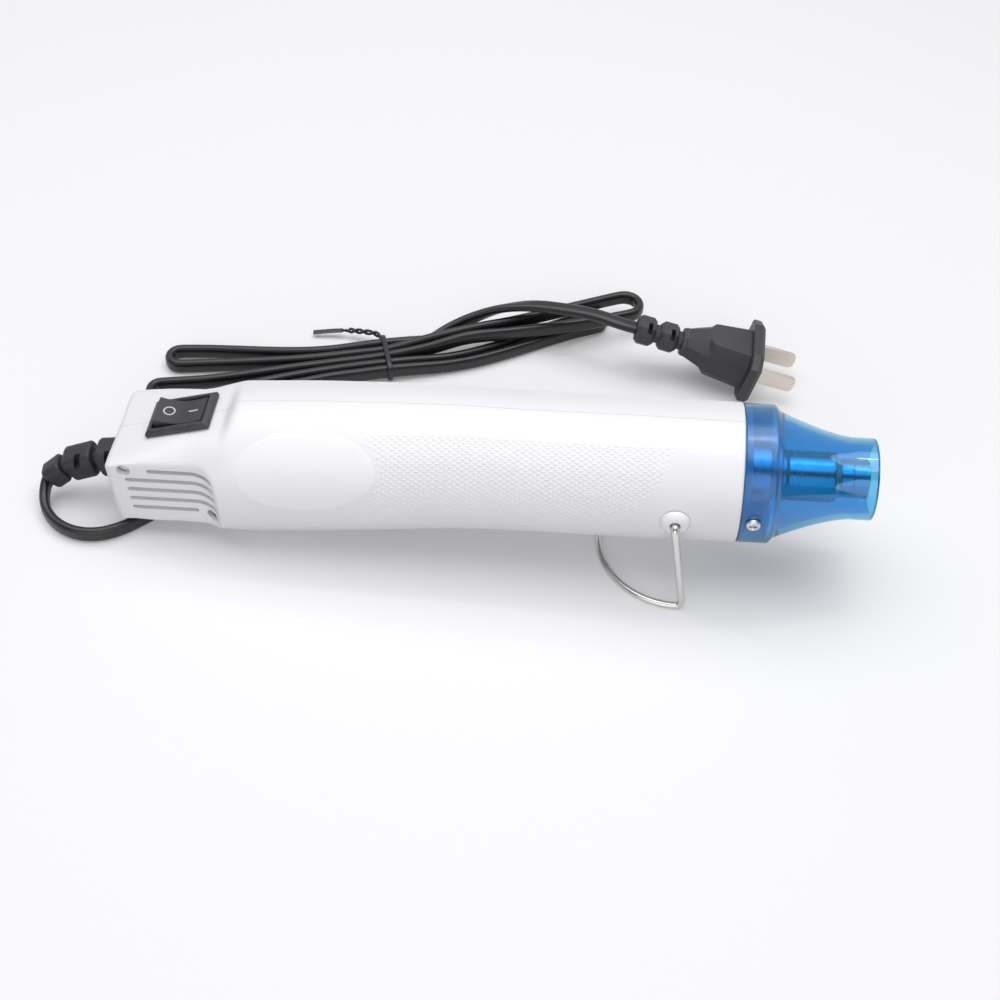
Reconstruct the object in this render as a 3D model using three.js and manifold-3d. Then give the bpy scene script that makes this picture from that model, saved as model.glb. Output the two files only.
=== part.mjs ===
// Craft hot air tool standing on its wire stand, with its flat mains cord folded into a tied hank behind it.
// Millimetres, +Z up, +X towards the nozzle. The origin is on the table under the middle of the tool.
import * as THREE from 'three';
import { mergeVertices } from 'three/addons/utils/BufferGeometryUtils.js';
import Module from 'manifold-3d';

const wasm = await Module();
wasm.setup();

const DEG = Math.PI / 180;

// Clearances
const FIT = 0.3; // between pieces that seat on each other
const RUNNING = 0.5; // round pieces that turn

// Stance: how far the barrel's axis is raised at the nozzle when the tool stands on its wire stand
const TILT = 3.3 * DEG;

// Housing: two moulded halves. Places along the tool are distances from the seam in front, behind it negative
const HOUSING_LENGTH = 193.5;
const REAR_S = -HOUSING_LENGTH;
const WALL = 2;
const PARTING_GAP = 0.3;
const FRONT_RADIUS = 21.4;
const GRIP_RADIUS = 21.75;
const GRIP_S = -62;
const BELLY_RADIUS = 23.6;
const BELLY_FROM_REAR = 55.5;
const BELLY_S = REAR_S + BELLY_FROM_REAR;
const DROOP_S = -80; // behind this the housing's centre line drops
const DROOP_SLOPE = 0.0725;
const DROOP_EASE = 10;
const TAIL_HALF_WIDTH = 17;
const TAIL_UNDERSIDE_Z = -19;
const SHOULDER_REACH = 8.7;
const SCOOP_FROM_REAR = 28;
const SCOOP_BACK_S = REAR_S + SCOOP_FROM_REAR; // the round body turns into the tail over this stretch
const SCOOP_LENGTH = 14;
const SCOOP_FRONT_S = SCOOP_BACK_S + SCOOP_LENGTH;
const RECESS_LENGTH = 26.5;
const RECESS_S = REAR_S + RECESS_LENGTH; // in front of this the flat sides sweep out in a hollow curve
const RECESS_SWEEP = 10;
const RECESS_EDGE_SHARPNESS = 26;
const REAR_ROUND = 2.5;
const EDGE_SHARPNESS = 10; // exponent that rounds the tail's edges, higher is sharper
const HOUSING_SIDES = 40;

// Front spigot that carries the guard
const SPIGOT_RADIUS = 19.1;
const SPIGOT_LENGTH = 2.6;
const SPIGOT_WALL = 1.7;
const BULKHEAD = 3;
const LUG_LENGTH = 6.6; // lugs that the guard's screws go into
const LUG_HALF_WIDTH = 2.2;
const LUG_DEPTH = 3;

// Switch panel and rocker switch
const SWITCH_FROM_REAR = 22.4;
const SWITCH_S = REAR_S + SWITCH_FROM_REAR;
const SWITCH_Z = 11;
const PANEL_SLOPE = 15.4 * DEG;
const PANEL_LENGTH = 36;
const PANEL_FRONT_S = REAR_S + PANEL_LENGTH;
const PANEL_RAMP = 5;
const PANEL_RAMP_RISE = 6;
const BEZEL_LENGTH = 21.4;
const BEZEL_WIDTH = 15.4;
const BEZEL_HEIGHT = 2;
const SWITCH_BODY_LENGTH = 19;
const SWITCH_BODY_WIDTH = 13;
const SWITCH_BODY_DEPTH = 12;
const SWITCH_POCKET_DEPTH = 6.4;
const ROCKER_HALF_LENGTH = 7.8;
const ROCKER_END_HEIGHT = 3.2;
const ROCKER_WAIST_HEIGHT = 1.5;
const ROCKER_WIDTH = 10.4;
const ROCKER_KEEL = 4.9;
const ROCKER_PIVOT_Z = 0.2;
const ROCKER_THROW = 11 * DEG; // to each side of level
const TERMINAL_WIDTH = 4.8;
const TERMINAL_THICKNESS = 0.8;
const TERMINAL_LENGTH = 5;
const TERMINAL_PITCH = 9;

// Air inlet slots on both sides of the tail
const VENT_COUNT = 5;
const VENT_TOP_Z = 3.4;
const VENT_PITCH = 4.05;
const VENT_HEIGHT = 1.7;
const VENT_FROM_REAR = 6.1;
const VENT_REAR_S = REAR_S + VENT_FROM_REAR;
const VENT_LENGTH = 29;
const VENT_FRONT_S = VENT_REAR_S + VENT_LENGTH;
const VENT_CLEAR_OF_SCREW = 7.5; // the first and the last slot stop short of the screws

// Screws that close the housing, put in from the right
const REAR_SCREW_FROM_REAR = 6;
const REAR_SCREW_Z = 2.4;
const BELLY_SCREW_FROM_REAR = 32.2;
const BELLY_SCREW_Z = -12.5;
const SCREW_PLACES = [
  ['housing_screw_rear', REAR_S + REAR_SCREW_FROM_REAR, REAR_SCREW_Z],
  ['housing_screw_belly', REAR_S + BELLY_SCREW_FROM_REAR, BELLY_SCREW_Z],
];
const SCREW_HEAD_RADIUS = 1.9;
const SCREW_HEAD_HEIGHT = 1.6;
const SCREW_SHANK_RADIUS = 1.1;
const SCREW_LENGTH = 12;
const SCREW_SEAT_Y = -9; // where the head sits, from the middle plane
const BOSS_RADIUS = 3.4;

// Transparent nozzle guard
const COLLAR_RADIUS = 21.2;
const COLLAR_LENGTH = 9.6;
const BEVEL_RADIUS = 19.6;
const BEVEL_LENGTH = 1.4;
const FLARE_END_S = 34;
const FLARE_POWER = 1.45;
const TIP_S = 40.5;
const TIP_RADIUS = 12.5;
const GUARD_WALL = 1.8;
const GUARD_SIDES = 36;
const GUARD_SCREW_S = 4;
const GUARD_SCREW_HEAD_RADIUS = 2.2;
const GUARD_SCREW_HEAD_HEIGHT = 1;
const GUARD_SCREW_SHANK_RADIUS = 1;
const GUARD_SCREW_LENGTH = 4;

// Steel barrel: a drawn tube in three steps, with the heater inside its wide part
const BARREL_RADIUS = 10.3;
const BARREL_SHOULDER_S = 10;
const NECK_RADIUS = 7.75;
const NECK_S = 11.4;
const NECK_END_S = 28.5;
const MOUTH_RADIUS = 6;
const MOUTH_S = 30;
const MOUTH_END_S = 38.8;
const BARREL_WALL = 0.7;
const BARREL_SIDES = 28;
const BARREL_RING_S = -7;
const BARREL_RING_LENGTH = 2;
const RIB_BEHIND_PIVOT = 12;
const RIB_FROM_BARREL_END = 8;
const SLEEVE_WALL = 0.5;
const CORE_BOARD = 0.8;
const CORE_FOOT = 3;
const COIL_WIRE_RADIUS = 0.45;
const COIL_TURNS = 9;
const COIL_CLEAR = 6; // of the core's ends
const HEATER_SET_BACK = 3; // from the barrel's rear end
const HEATER_FRONT_S = 6;

// Motor and fan
const MOTOR_RADIUS = 12;
const MOTOR_FROM_REAR = 60.5;
const MOTOR_REAR_S = REAR_S + MOTOR_FROM_REAR;
const MOTOR_LENGTH = 28;
const MOTOR_FRONT_S = MOTOR_REAR_S + MOTOR_LENGTH;
const MOTOR_ROUND = 1;
const MOTOR_BOSS_RADIUS = 3.4;
const MOTOR_BOSS_LENGTH = 2;
const MOTOR_SHAFT_SOCKET = 9;
const END_CAP_LENGTH = 4;
const END_CAP_INSET = 0.4;
const END_CAP_CHAMFER = 1.6;
const SHAFT_RADIUS = 1;
const SHAFT_STUB = 3; // beyond the fan
const FAN_RADIUS = 17.3;
const FAN_HUB_RADIUS = 4.6;
const FAN_HUB_CHAMFER = 0.9;
const FAN_GAP = 7; // from the motor's front
const FAN_S = MOTOR_FRONT_S + FAN_GAP;
const FAN_DEPTH = 9;
const SHAFT_FRONT_S = FAN_S + FAN_DEPTH + SHAFT_STUB;
const FAN_BLADES = 7;
const FAN_BLADE_THICKNESS = 1;
const FAN_PITCH = 38 * DEG;
const FAN_TWIST = 14 * DEG;
const FAN_BLADE_MARGIN = 0.7;
const MOUNT_FROM_MOTOR_REAR = 14;
const MOUNT_S = MOTOR_REAR_S + MOUNT_FROM_MOTOR_REAR;
const MOUNT_DEPTH = 5;
const MOUNT_RIM = 2.6;
const MOUNT_GRIP = 1.8;
const MOUNT_SPOKES = 6;
const FUNNEL_GAP = 2; // from the shaft's end
const FUNNEL_REAR_S = SHAFT_FRONT_S + FUNNEL_GAP;
const FUNNEL_RIM = 3;
const FUNNEL_LENGTH = 17;
const FUNNEL_NECK_S = FUNNEL_REAR_S + FUNNEL_LENGTH;
const FUNNEL_LIP = 7;
const FUNNEL_END_S = FUNNEL_NECK_S + FUNNEL_LIP;
const FUNNEL_WALL = 1.4;
const BARREL_REAR_S = FUNNEL_NECK_S + HEATER_SET_BACK;
const HEATER_REAR_S = BARREL_REAR_S + HEATER_SET_BACK;
const BOARD_SIDE = 18;
const BOARD_HEIGHT = 14;
const BOARD_THICKNESS = 1.6;
const DIODE_RADIUS = 1.35;
const DIODE_LENGTH = 5.2;
const DIODE_PITCH_Y = 8;
const DIODE_PITCH_Z = 6;
const FUSE_RADIUS = 1.9;
const FUSE_LENGTH = 9;
const LEAD_RADIUS = 0.9;
const LEAD_ASIDE = 7; // where the leads meet the board, from its middle
const LEAD_SLACK = 5;
const LEAD_PAIR = 2;

// Wire stand and the bushes it turns in
const PIVOT_S = -19;
const WIRE_RADIUS = 1.1;
const LEG_CLEARANCE = 0.25; // beside the bush
const LEG_LEAN = 10.8 * DEG; // foot ahead of the pivot
const LEG_BEND = 2.2;
const FOOT_BEND = 3;
const FOOT_DEPTH = 24.2; // of its curve, back from the heels
const WIRE_END_Y = 17.6;
const BUSH_RADIUS = 4.5;
const BUSH_STEM_RADIUS = 2.4;
const BUSH_HEIGHT = 2.15;
const BUSH_STEM_END_Y = 18.6;
const BUSH_MOUTH = 0.7; // flare of the bore at its outer end

// Strain relief: ribbed rubber boot, drooping under the cord's weight
const RELIEF_Z = -8.2;
const RELIEF_NECK_RADIUS = 4.2;
const RELIEF_FLANGE_RADIUS = 6;
const RELIEF_FLANGE = 2;
const RELIEF_ROOT_RADIUS = 5.4;
const RELIEF_END_RADIUS = 4.1;
const RELIEF_GROOVE_DEPTH = 1.5;
const RELIEF_RIBS = 3;
const RELIEF_GROOVE = 1.6; // length of the gap between two ribs
const RELIEF_REACH = 24.9;
const RELIEF_DROP = 8;
const RELIEF_ASIDE = -3.4; // towards the near side at its end

// Flat twin cord, standing on its narrow edge
const CORD_WIDTH = 5.2;
const CORD_THICKNESS = 3.2;
const CORD_LIFT = 0.2; // above the table
const CORD_Z = CORD_LIFT + CORD_WIDTH / 2;
const CORD_SIDES = 8;

// Where the tail of the cord lies, after the strain relief and up to the hank
const TAIL_POINTS = [
  [-142.7, -5.4, 6.1], [-142.5, -8.8, 4.4], [-140.9, -13, 3.2], [-137.3, -17.2, CORD_Z],
  [-132.5, -20.2, CORD_Z], [-127, -21.5, CORD_Z], [-121, -20.7, CORD_Z], [-115.2, -17.6, CORD_Z],
  [-109.4, -12.4, CORD_Z], [-103.4, -5.6, CORD_Z], [-98.8, 2.4, CORD_Z], [-96, 11.4, CORD_Z],
  [-94.2, 20.6, CORD_Z], [-92, 30, CORD_Z], [-88, 38.4, CORD_Z], [-81.6, 45.2, CORD_Z],
];

// Hank: five runs folded to and fro on the table, drawn together by the tie at the waist
const HANK_X = -43.5;
const HANK_Y = 73.6;
const HANK_TURN = 17 * DEG; // direction of the runs at the waist
const HANK_BOW = 600; // radius of the hank's gentle bend
const HANK_RUNS = 5;
const WAIST_STEP = 3.5; // between runs at the waist
const WAIST_ASIDE = -1;
const WAIST_SHARE = 0.24; // how much of a run stays parallel to its neighbours
const WAIST_LIFT = 1.1; // room for the tie under the cord
const WAIST_EASE = 16;
const HANK_START = -31;
const HANK_END = 13;
const FOLD_STEPS = 8;
const RUN_STEPS = 11;
const HANK_SIDES = 6;
const FIRST_RUN_REAR = -13.2; // side offset of the first run where it comes in
// Folds by turns at the nozzle end and the tail end: reach from the waist, side offset and radius
const FOLDS = [[80, 2.6, 3.1], [-78.6, -9.8, 3.6], [91, 0.9, 5.2], [-73, 6.9, 3.9]];
const RAISED_RUNS = [2, 3]; // their fold at the nozzle end lies on the first fold
const RAISED_LIFT = 5.9;
const RAISED_FROM = 6;
const RAISED_TO = 24;

// The lead from the hank to the plug, which climbs over the hank's last fold
const LEAD_POINTS = [
  [-22.4, 89.1, 5.9], [-14, 92.3, 9.6], [-5, 93.9, 13.3], [5.5, 93.6, 16.3], [17, 91.2, 18.4],
  [29.5, 88, 19.7],
];

// Plug: two flat blades, with a ribbed boot
const PLUG_X = 44.4;
const PLUG_Y = 84.4;
const PLUG_TURN = -3.5 * DEG;
const PLUG_PITCH = 11 * DEG; // nose down, on the flange's lower edge
const PLUG_FLANGE_HEIGHT = 20.5;
const PLUG_FLANGE_WIDTH = 27.5;
const PLUG_FLANGE = 4.4;
const BOOT_WIDTH = 10.4;
const BOOT_HEIGHT = 8.4;
const BOOT_RIB = 6.8;
const BOOT_GAP = 1.6;
const BOOT_CORE_WIDTH = 7;
const BOOT_CORE_HEIGHT = 5.4;
const PLUG_BODY_LENGTH = 23.5;
const PLUG_BODY_WIDTH = 21;
const PLUG_BODY_HEIGHT = 16;
const PLUG_NECK = 2 * (BOOT_RIB + BOOT_GAP);
const PLUG_RIM = PLUG_NECK + PLUG_BODY_LENGTH + PLUG_FLANGE * 0.7; // the flange's front edge
const PLUG_Z = CORD_LIFT + PLUG_RIM * Math.sin(PLUG_PITCH) + (PLUG_FLANGE_HEIGHT / 2) * Math.cos(PLUG_PITCH);
const FLANGE_FLANK = 0.74; // how square the flange's ends are
const BLADE_PITCH = 12.7;
const BLADE_WIDTH = 6.3;
const BLADE_THICKNESS = 1.5;
const BLADE_LENGTH = 14;
const BLADE_CLIP = 1.6;

// Wire tie round the waist of the hank
const TIE_THICKNESS = 0.8;
const TIE_WIDTH = 2.2;
const TIE_TAIL_TURNS = 5;
const TIE_TAIL_POINTS = [[-48.4, 84.3, 4.2], [-54, 85.6, 3.8], [-61, 86.2, 3], [-72, 85, 1.8]];

const material = (color, roughness, metalness = 0) =>
  new THREE.MeshStandardMaterial({ color, roughness, metalness });

const WHITE = material(0xf2f2f6, 0.42);
const BLUE = new THREE.MeshStandardMaterial({
  color: 0x2470bc, roughness: 0.1, transparent: true, opacity: 0.45,
});
const STEEL = material(0xc9ccd0, 0.25, 1);
const BLACK = material(0x2b2b30, 0.5);
const RUBBER = material(0x26262a, 0.7);
const CORD = material(0x2a2a2f, 0.55);
const NICKEL = material(0xcdc6bd, 0.3, 1);
const BRASS = material(0xc8a04a, 0.35, 1);
const MICA = material(0xb7a27c, 0.6);
const NICHROME = material(0x77797c, 0.4, 1);
const BOARD = material(0x8a6b3c, 0.6);
const COPPER_LEAD = material(0xc23b30, 0.5);

// Closed meshes and joins

function closed(positions, indices) {
  const geometry = new THREE.BufferGeometry();
  geometry.setAttribute('position', new THREE.Float32BufferAttribute(positions, 3));
  geometry.setIndex(indices);
  return geometry;
}

// The same geometry with its faces turned outwards.
function facingOut(geometry) {
  const { position } = geometry.attributes;
  const index = geometry.index.array;
  const corner = (i) => new THREE.Vector3().fromBufferAttribute(position, index[i]);
  let volume = 0;
  for (let i = 0; i < index.length; i += 3) {
    volume += corner(i).dot(corner(i + 1).cross(corner(i + 2)));
  }
  if (volume < 0) {
    geometry.setIndex(Array.from(index).reverse());
  }
  return geometry;
}

function toSolid(source) {
  const bare = source.clone();
  bare.deleteAttribute('normal');
  bare.deleteAttribute('uv');
  const geometry = mergeVertices(bare, 1e-4);
  return new wasm.Manifold(new wasm.Mesh({
    numProp: 3,
    vertProperties: Float32Array.from(geometry.attributes.position.array),
    triVerts: Uint32Array.from(geometry.index.array),
  }));
}

function toGeometry(solid) {
  const { vertProperties, triVerts } = solid.getMesh();
  return closed(Array.from(vertProperties), Array.from(triVerts));
}

// A closed skin over rings of points, with a fan to the middle of the first and the last ring.
function loft(rings) {
  const sides = rings[0].length;
  const positions = rings.flat().flatMap((p) => [p.x, p.y, p.z]);
  const indices = [];
  for (let i = 0; i + 1 < rings.length; i += 1) {
    for (let j = 0; j < sides; j += 1) {
      const a = i * sides + j;
      const b = i * sides + (j + 1) % sides;
      indices.push(a, b, b + sides, a, b + sides, a + sides);
    }
  }
  for (const [ring, flip] of [[0, true], [rings.length - 1, false]]) {
    const middle = new THREE.Vector3();
    rings[ring].forEach((p) => middle.addScaledVector(p, 1 / sides));
    const centre = positions.length / 3;
    positions.push(middle.x, middle.y, middle.z);
    for (let j = 0; j < sides; j += 1) {
      const a = ring * sides + j;
      const b = ring * sides + (j + 1) % sides;
      indices.push(...(flip ? [centre, b, a] : [centre, a, b]));
    }
  }
  return facingOut(closed(positions, indices));
}

// A turned piece about the tool's axis. The profile holds [place along the axis, radius] and closes on itself.
function turned(profile, sides) {
  const points = profile.map(([s, r]) => new THREE.Vector2(r, s));
  const onAxis = profile[0][1] === 0;
  const geometry = new THREE.LatheGeometry(onAxis ? points : [...points, points[0]], sides);
  return facingOut(geometry.rotateZ(-Math.PI / 2));
}

function box(x, y, z, dx, dy, dz) {
  return new THREE.BoxGeometry(dx, dy, dz).translate(x, y, z);
}

// A rod along the tool's axis, or along Y for pieces that cross the tool.
function rodX(s, length, radius, y = 0, z = 0, sides = 16) {
  return new THREE.CylinderGeometry(radius, radius, length, sides)
    .rotateZ(-Math.PI / 2)
    .translate(s + length / 2, y, z);
}

function rodY(s, z, y0, y1, radius, sides = 16) {
  return new THREE.CylinderGeometry(radius, radius, Math.abs(y1 - y0), sides).translate(s, (y0 + y1) / 2, z);
}

function mesh(name, shape, finish) {
  const geometry = shape.isBufferGeometry ? shape : toGeometry(shape);
  const piece = new THREE.Mesh(geometry, finish);
  piece.name = name;
  return piece;
}

function roundShape(radiusX, radiusY, sides, power = 2) {
  const corner = (i) => {
    const angle = (2 * Math.PI * (i + 0.5)) / sides;
    const c = Math.cos(angle);
    const s = Math.sin(angle);
    const reach = (Math.abs(c) ** power + Math.abs(s) ** power) ** (-1 / power);
    return new THREE.Vector2(radiusX * c * reach, radiusY * s * reach);
  };
  return new THREE.Shape(Array.from({ length: sides }, (_, i) => corner(i)));
}

// A tube along a curve. A flat tube keeps its second axis upright, turned by twist along the way.
function tube(curve, shape, steps, twist = null) {
  if (twist) {
    curve.computeFrenetFrames = (count) => uprightFrames(curve, count, twist);
  }
  return new THREE.ExtrudeGeometry(shape, { steps, bevelEnabled: false, extrudePath: curve });
}

function uprightFrames(curve, count, twist) {
  const frames = { tangents: [], normals: [], binormals: [] };
  for (let i = 0; i <= count; i += 1) {
    const tangent = curve.getTangentAt(i / count).normalize();
    const upright = new THREE.Vector3(0, 0, 1).addScaledVector(tangent, -tangent.z).normalize();
    upright.applyAxisAngle(tangent, twist(i / count));
    frames.tangents.push(tangent);
    frames.binormals.push(upright);
    frames.normals.push(new THREE.Vector3().crossVectors(upright, tangent));
  }
  return frames;
}

function mix(a, b, t) {
  return a + (b - a) * t;
}

const { smoothstep } = THREE.MathUtils;
const vector = (p) => new THREE.Vector3(...p);

// Housing form: a round body whose tail has flat sides, a flat underside and a sloping switch panel

function droop(s) {
  const run = Math.max(0, DROOP_S - s);
  return -DROOP_SLOPE * (Math.hypot(run, DROOP_EASE) - DROOP_EASE);
}

function roundRadius(s) {
  if (s > GRIP_S) {
    return mix(GRIP_RADIUS, FRONT_RADIUS, smoothstep(s, GRIP_S / 2, 0));
  }
  return mix(BELLY_RADIUS, GRIP_RADIUS, smoothstep(s, BELLY_S, GRIP_S));
}

function panelZ(s) {
  const ramp = Math.max(0, s - PANEL_FRONT_S) / PANEL_RAMP;
  return SWITCH_Z + (s - SWITCH_S) * Math.tan(PANEL_SLOPE) + PANEL_RAMP_RISE * ramp ** 2;
}

// Distance from the housing's centre line to its skin, at an angle up from the left side.
function housingRadius(s, angle) {
  const side = Math.abs(Math.cos(angle));
  const up = Math.sin(angle);
  const panel = panelZ(s) - droop(s);
  const shoulder = panel * Math.SQRT1_2 + SHOULDER_REACH;
  const round = roundRadius(s);
  const slant = ((side + up) * Math.SQRT1_2) / shoulder;
  const underside = -up / (droop(s) - TAIL_UNDERSIDE_Z);
  const tail = nearest([1 / round, slant, underside], EDGE_SHARPNESS);
  const blended = mix(tail, round, smoothstep(s, SCOOP_BACK_S, SCOOP_FRONT_S));
  const body = nearest([1 / blended, up / panel], EDGE_SHARPNESS);
  return nearest([1 / body, side / recessY(s)], RECESS_EDGE_SHARPNESS);
}

// The nearest of several surfaces along a ray, with rounded edges between them, from one over each distance.
function nearest(closeness, sharpness) {
  const sum = closeness.reduce((total, c) => total + Math.max(0, c) ** sharpness, 0);
  return sum ** (-1 / sharpness);
}

// How far out the tail's sides are: flat, then a hollow sweep that runs out through the round body.
function recessY(s) {
  const along = Math.max(0, s - RECESS_S);
  const swept = Math.min(along, RECESS_SWEEP);
  const sweep = RECESS_SWEEP - Math.sqrt(RECESS_SWEEP ** 2 - swept ** 2);
  return TAIL_HALF_WIDTH + sweep + 4 * (along - swept);
}

function housingRing(s, sides, inset) {
  return Array.from({ length: sides }, (_, i) => {
    const angle = (2 * Math.PI * i) / sides;
    const r = housingRadius(s, angle) - inset;
    return new THREE.Vector3(s, r * Math.cos(angle), droop(s) + r * Math.sin(angle));
  });
}

function bodyStations(from, to) {
  const stations = [];
  for (let s = from; s < SCOOP_BACK_S - 1; s += 6) {
    stations.push(s);
  }
  for (let s = SCOOP_BACK_S; s < BELLY_S - 10; s += 2.3) {
    stations.push(s);
  }
  for (let s = BELLY_S - 8; s < to - 6; s += 13) {
    stations.push(s);
  }
  return [...stations, to];
}

const stations = bodyStations(REAR_S + REAR_ROUND, 0);
const lowest = stations.map((s) => {
  const underside = droop(s) - housingRadius(s, -Math.PI / 2);
  return -s * Math.sin(TILT) - underside * Math.cos(TILT);
});
const SEAM_HEIGHT = Math.max(...lowest);
const NOSE_X = TIP_S * Math.cos(TILT) + TIP_RADIUS * Math.sin(TILT);
const TAIL_X = REAR_S * Math.cos(TILT) - (panelZ(REAR_S) - REAR_ROUND) * Math.sin(TILT);
const SEAM_X = -(NOSE_X + TAIL_X) / 2;

function housingShell() {
  const rearRings = [0, 0.3, 0.6, 0.85].map((t) => {
    const inset = REAR_ROUND * (1 - Math.sqrt(1 - (1 - t) ** 2));
    return housingRing(REAR_S + REAR_ROUND * t, HOUSING_SIDES, inset);
  });
  const outerRings = [...rearRings, ...stations.map((s) => housingRing(s, HOUSING_SIDES, 0))];
  const outer = toSolid(loft(outerRings));
  const innerStations = bodyStations(REAR_S + WALL, 0).filter((s, i) => i % 2 === 0 || s > BELLY_S);
  const innerRings = innerStations.map((s) => housingRing(s, HOUSING_SIDES / 2, WALL));
  const open = innerRings.at(-1).map((p) => p.clone().setX(BULKHEAD));
  const inner = toSolid(loft([...innerRings, open]));
  let shell = outer.subtract(inner);

  const spigotBore = SPIGOT_RADIUS - SPIGOT_WALL;
  const spigot = turned([
    [-BULKHEAD, spigotBore], [SPIGOT_LENGTH, spigotBore], [SPIGOT_LENGTH, SPIGOT_RADIUS],
    [0, SPIGOT_RADIUS], [0, FRONT_RADIUS - WALL / 2], [-BULKHEAD, FRONT_RADIUS - WALL / 2],
  ], GUARD_SIDES);
  shell = shell.add(toSolid(spigot));
  for (const side of [-1, 1]) {
    const s = (LUG_LENGTH - BULKHEAD) / 2;
    const y = side * (SPIGOT_RADIUS - FIT - LUG_DEPTH / 2);
    const lug = box(s, y, 0, LUG_LENGTH + BULKHEAD, LUG_DEPTH, 2 * LUG_HALF_WIDTH);
    shell = shell.add(toSolid(lug));
  }

  for (const s of [PIVOT_S - RIB_BEHIND_PIVOT, BARREL_REAR_S + RIB_FROM_BARREL_END]) {
    const seat = BARREL_RADIUS + FIT;
    const rim = roundRadius(s) - WALL / 2;
    const rib = turned([[s, seat], [s + WALL, seat], [s + WALL, rim], [s, rim]], BARREL_SIDES);
    shell = shell.add(toSolid(rib));
  }
  for (const [, s, z] of SCREW_PLACES) {
    const boss = toSolid(rodY(s, z, -TAIL_HALF_WIDTH * 2, TAIL_HALF_WIDTH * 2, BOSS_RADIUS));
    shell = shell.add(boss.intersect(outer));
  }
  return housingCuts().reduce((solid, cut) => solid.subtract(toSolid(cut)), shell);
}

function housingCuts() {
  const beyond = BELLY_RADIUS + 10;
  const cuts = [];
  const opening = box(0, 0, 0, SWITCH_BODY_LENGTH + 2 * FIT, SWITCH_BODY_WIDTH + 2 * FIT, SWITCH_BODY_DEPTH);
  cuts.push(opening.rotateY(-PANEL_SLOPE).translate(SWITCH_S, 0, SWITCH_Z));
  cuts.push(rodX(REAR_S - 1, WALL + 2, RELIEF_NECK_RADIUS + FIT, 0, RELIEF_Z));
  for (let i = 0; i < VENT_COUNT; i += 1) {
    const from = i === 0 ? VENT_REAR_S + VENT_CLEAR_OF_SCREW : VENT_REAR_S;
    const to = i === VENT_COUNT - 1 ? VENT_FRONT_S - VENT_CLEAR_OF_SCREW : VENT_FRONT_S;
    const z = VENT_TOP_Z - i * VENT_PITCH;
    for (const side of [-1, 1]) {
      const depth = beyond - TAIL_HALF_WIDTH + 2 * WALL;
      const y = side * (beyond - depth / 2);
      cuts.push(box((from + to) / 2, y, z, to - from, depth, VENT_HEIGHT));
    }
  }
  for (const [, s, z] of SCREW_PLACES) {
    cuts.push(rodY(s, z, -beyond, SCREW_SEAT_Y, SCREW_HEAD_RADIUS + FIT));
    cuts.push(rodY(s, z, SCREW_SEAT_Y - 1, SCREW_SEAT_Y + SCREW_LENGTH + FIT, SCREW_SHANK_RADIUS + FIT));
  }
  cuts.push(rodY(PIVOT_S, 0, -beyond, beyond, BUSH_STEM_RADIUS + FIT));
  for (const side of [-1, 1]) {
    const shank = GUARD_SCREW_SHANK_RADIUS + FIT;
    cuts.push(rodY(GUARD_SCREW_S, 0, side * (SPIGOT_RADIUS - 2 * LUG_DEPTH), side * beyond, shank));
  }
  return cuts;
}

function housingHalves() {
  const shell = housingShell();
  const size = 2 * HOUSING_LENGTH;
  return [['housing_right', -1], ['housing_left', 1]].map(([name, side]) => {
    const half = toSolid(box(0, (side * (size + PARTING_GAP)) / 2, 0, 2 * size, size, size));
    return mesh(name, shell.intersect(half), WHITE);
  });
}

function housingScrews() {
  return SCREW_PLACES.map(([name, s, z]) => {
    const under = SCREW_SEAT_Y - FIT;
    const end = under + SCREW_LENGTH - SCREW_HEAD_HEIGHT;
    const head = rodY(s, z, under - SCREW_HEAD_HEIGHT, under, SCREW_HEAD_RADIUS);
    const shank = rodY(s, z, under - SCREW_HEAD_HEIGHT / 2, end, SCREW_SHANK_RADIUS, 10);
    return mesh(name, toSolid(head).add(toSolid(shank)), STEEL);
  });
}

// Nozzle guard: collar, bevel and a concave flare down to a straight tip, with an even wall

function guardRadius(s) {
  const start = COLLAR_LENGTH + BEVEL_LENGTH;
  const t = THREE.MathUtils.clamp((s - start) / (FLARE_END_S - start), 0, 1);
  return TIP_RADIUS + (BEVEL_RADIUS - TIP_RADIUS) * (1 - t) ** FLARE_POWER;
}

function nozzleGuard() {
  const start = COLLAR_LENGTH + BEVEL_LENGTH;
  const flare = Array.from({ length: 8 }, (_, i) => {
    const s = mix(start, FLARE_END_S, i / 7);
    return [s, guardRadius(s)];
  });
  const socket = SPIGOT_RADIUS + FIT;
  const outer = [[FIT, COLLAR_RADIUS], [COLLAR_LENGTH, COLLAR_RADIUS], ...flare, [TIP_S, TIP_RADIUS]];
  const lining = flare.map(([s, r]) => [s, r - GUARD_WALL]).reverse();
  const collar = [[COLLAR_LENGTH - BEVEL_LENGTH, socket], [FIT, socket]];
  const inner = [[TIP_S, TIP_RADIUS - GUARD_WALL], ...lining, ...collar];
  let guard = toSolid(turned([...outer, ...inner], GUARD_SIDES));
  const bore = GUARD_SCREW_SHANK_RADIUS + FIT;
  const hole = rodY(GUARD_SCREW_S, 0, -2 * COLLAR_RADIUS, 2 * COLLAR_RADIUS, bore);
  guard = guard.subtract(toSolid(hole));
  return mesh('nozzle_guard', guard, BLUE);
}

function guardScrews() {
  return [['guard_screw_right', -1], ['guard_screw_left', 1]].map(([name, side]) => {
    const seat = COLLAR_RADIUS + FIT / 2;
    const top = seat + GUARD_SCREW_HEAD_HEIGHT;
    const inHead = seat + GUARD_SCREW_HEAD_HEIGHT / 2;
    const end = seat - GUARD_SCREW_LENGTH;
    const head = rodY(GUARD_SCREW_S, 0, side * seat, side * top, GUARD_SCREW_HEAD_RADIUS);
    const shank = rodY(GUARD_SCREW_S, 0, side * end, side * inHead, GUARD_SCREW_SHANK_RADIUS, 10);
    return mesh(name, toSolid(head).add(toSolid(shank)), STEEL);
  });
}

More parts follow.
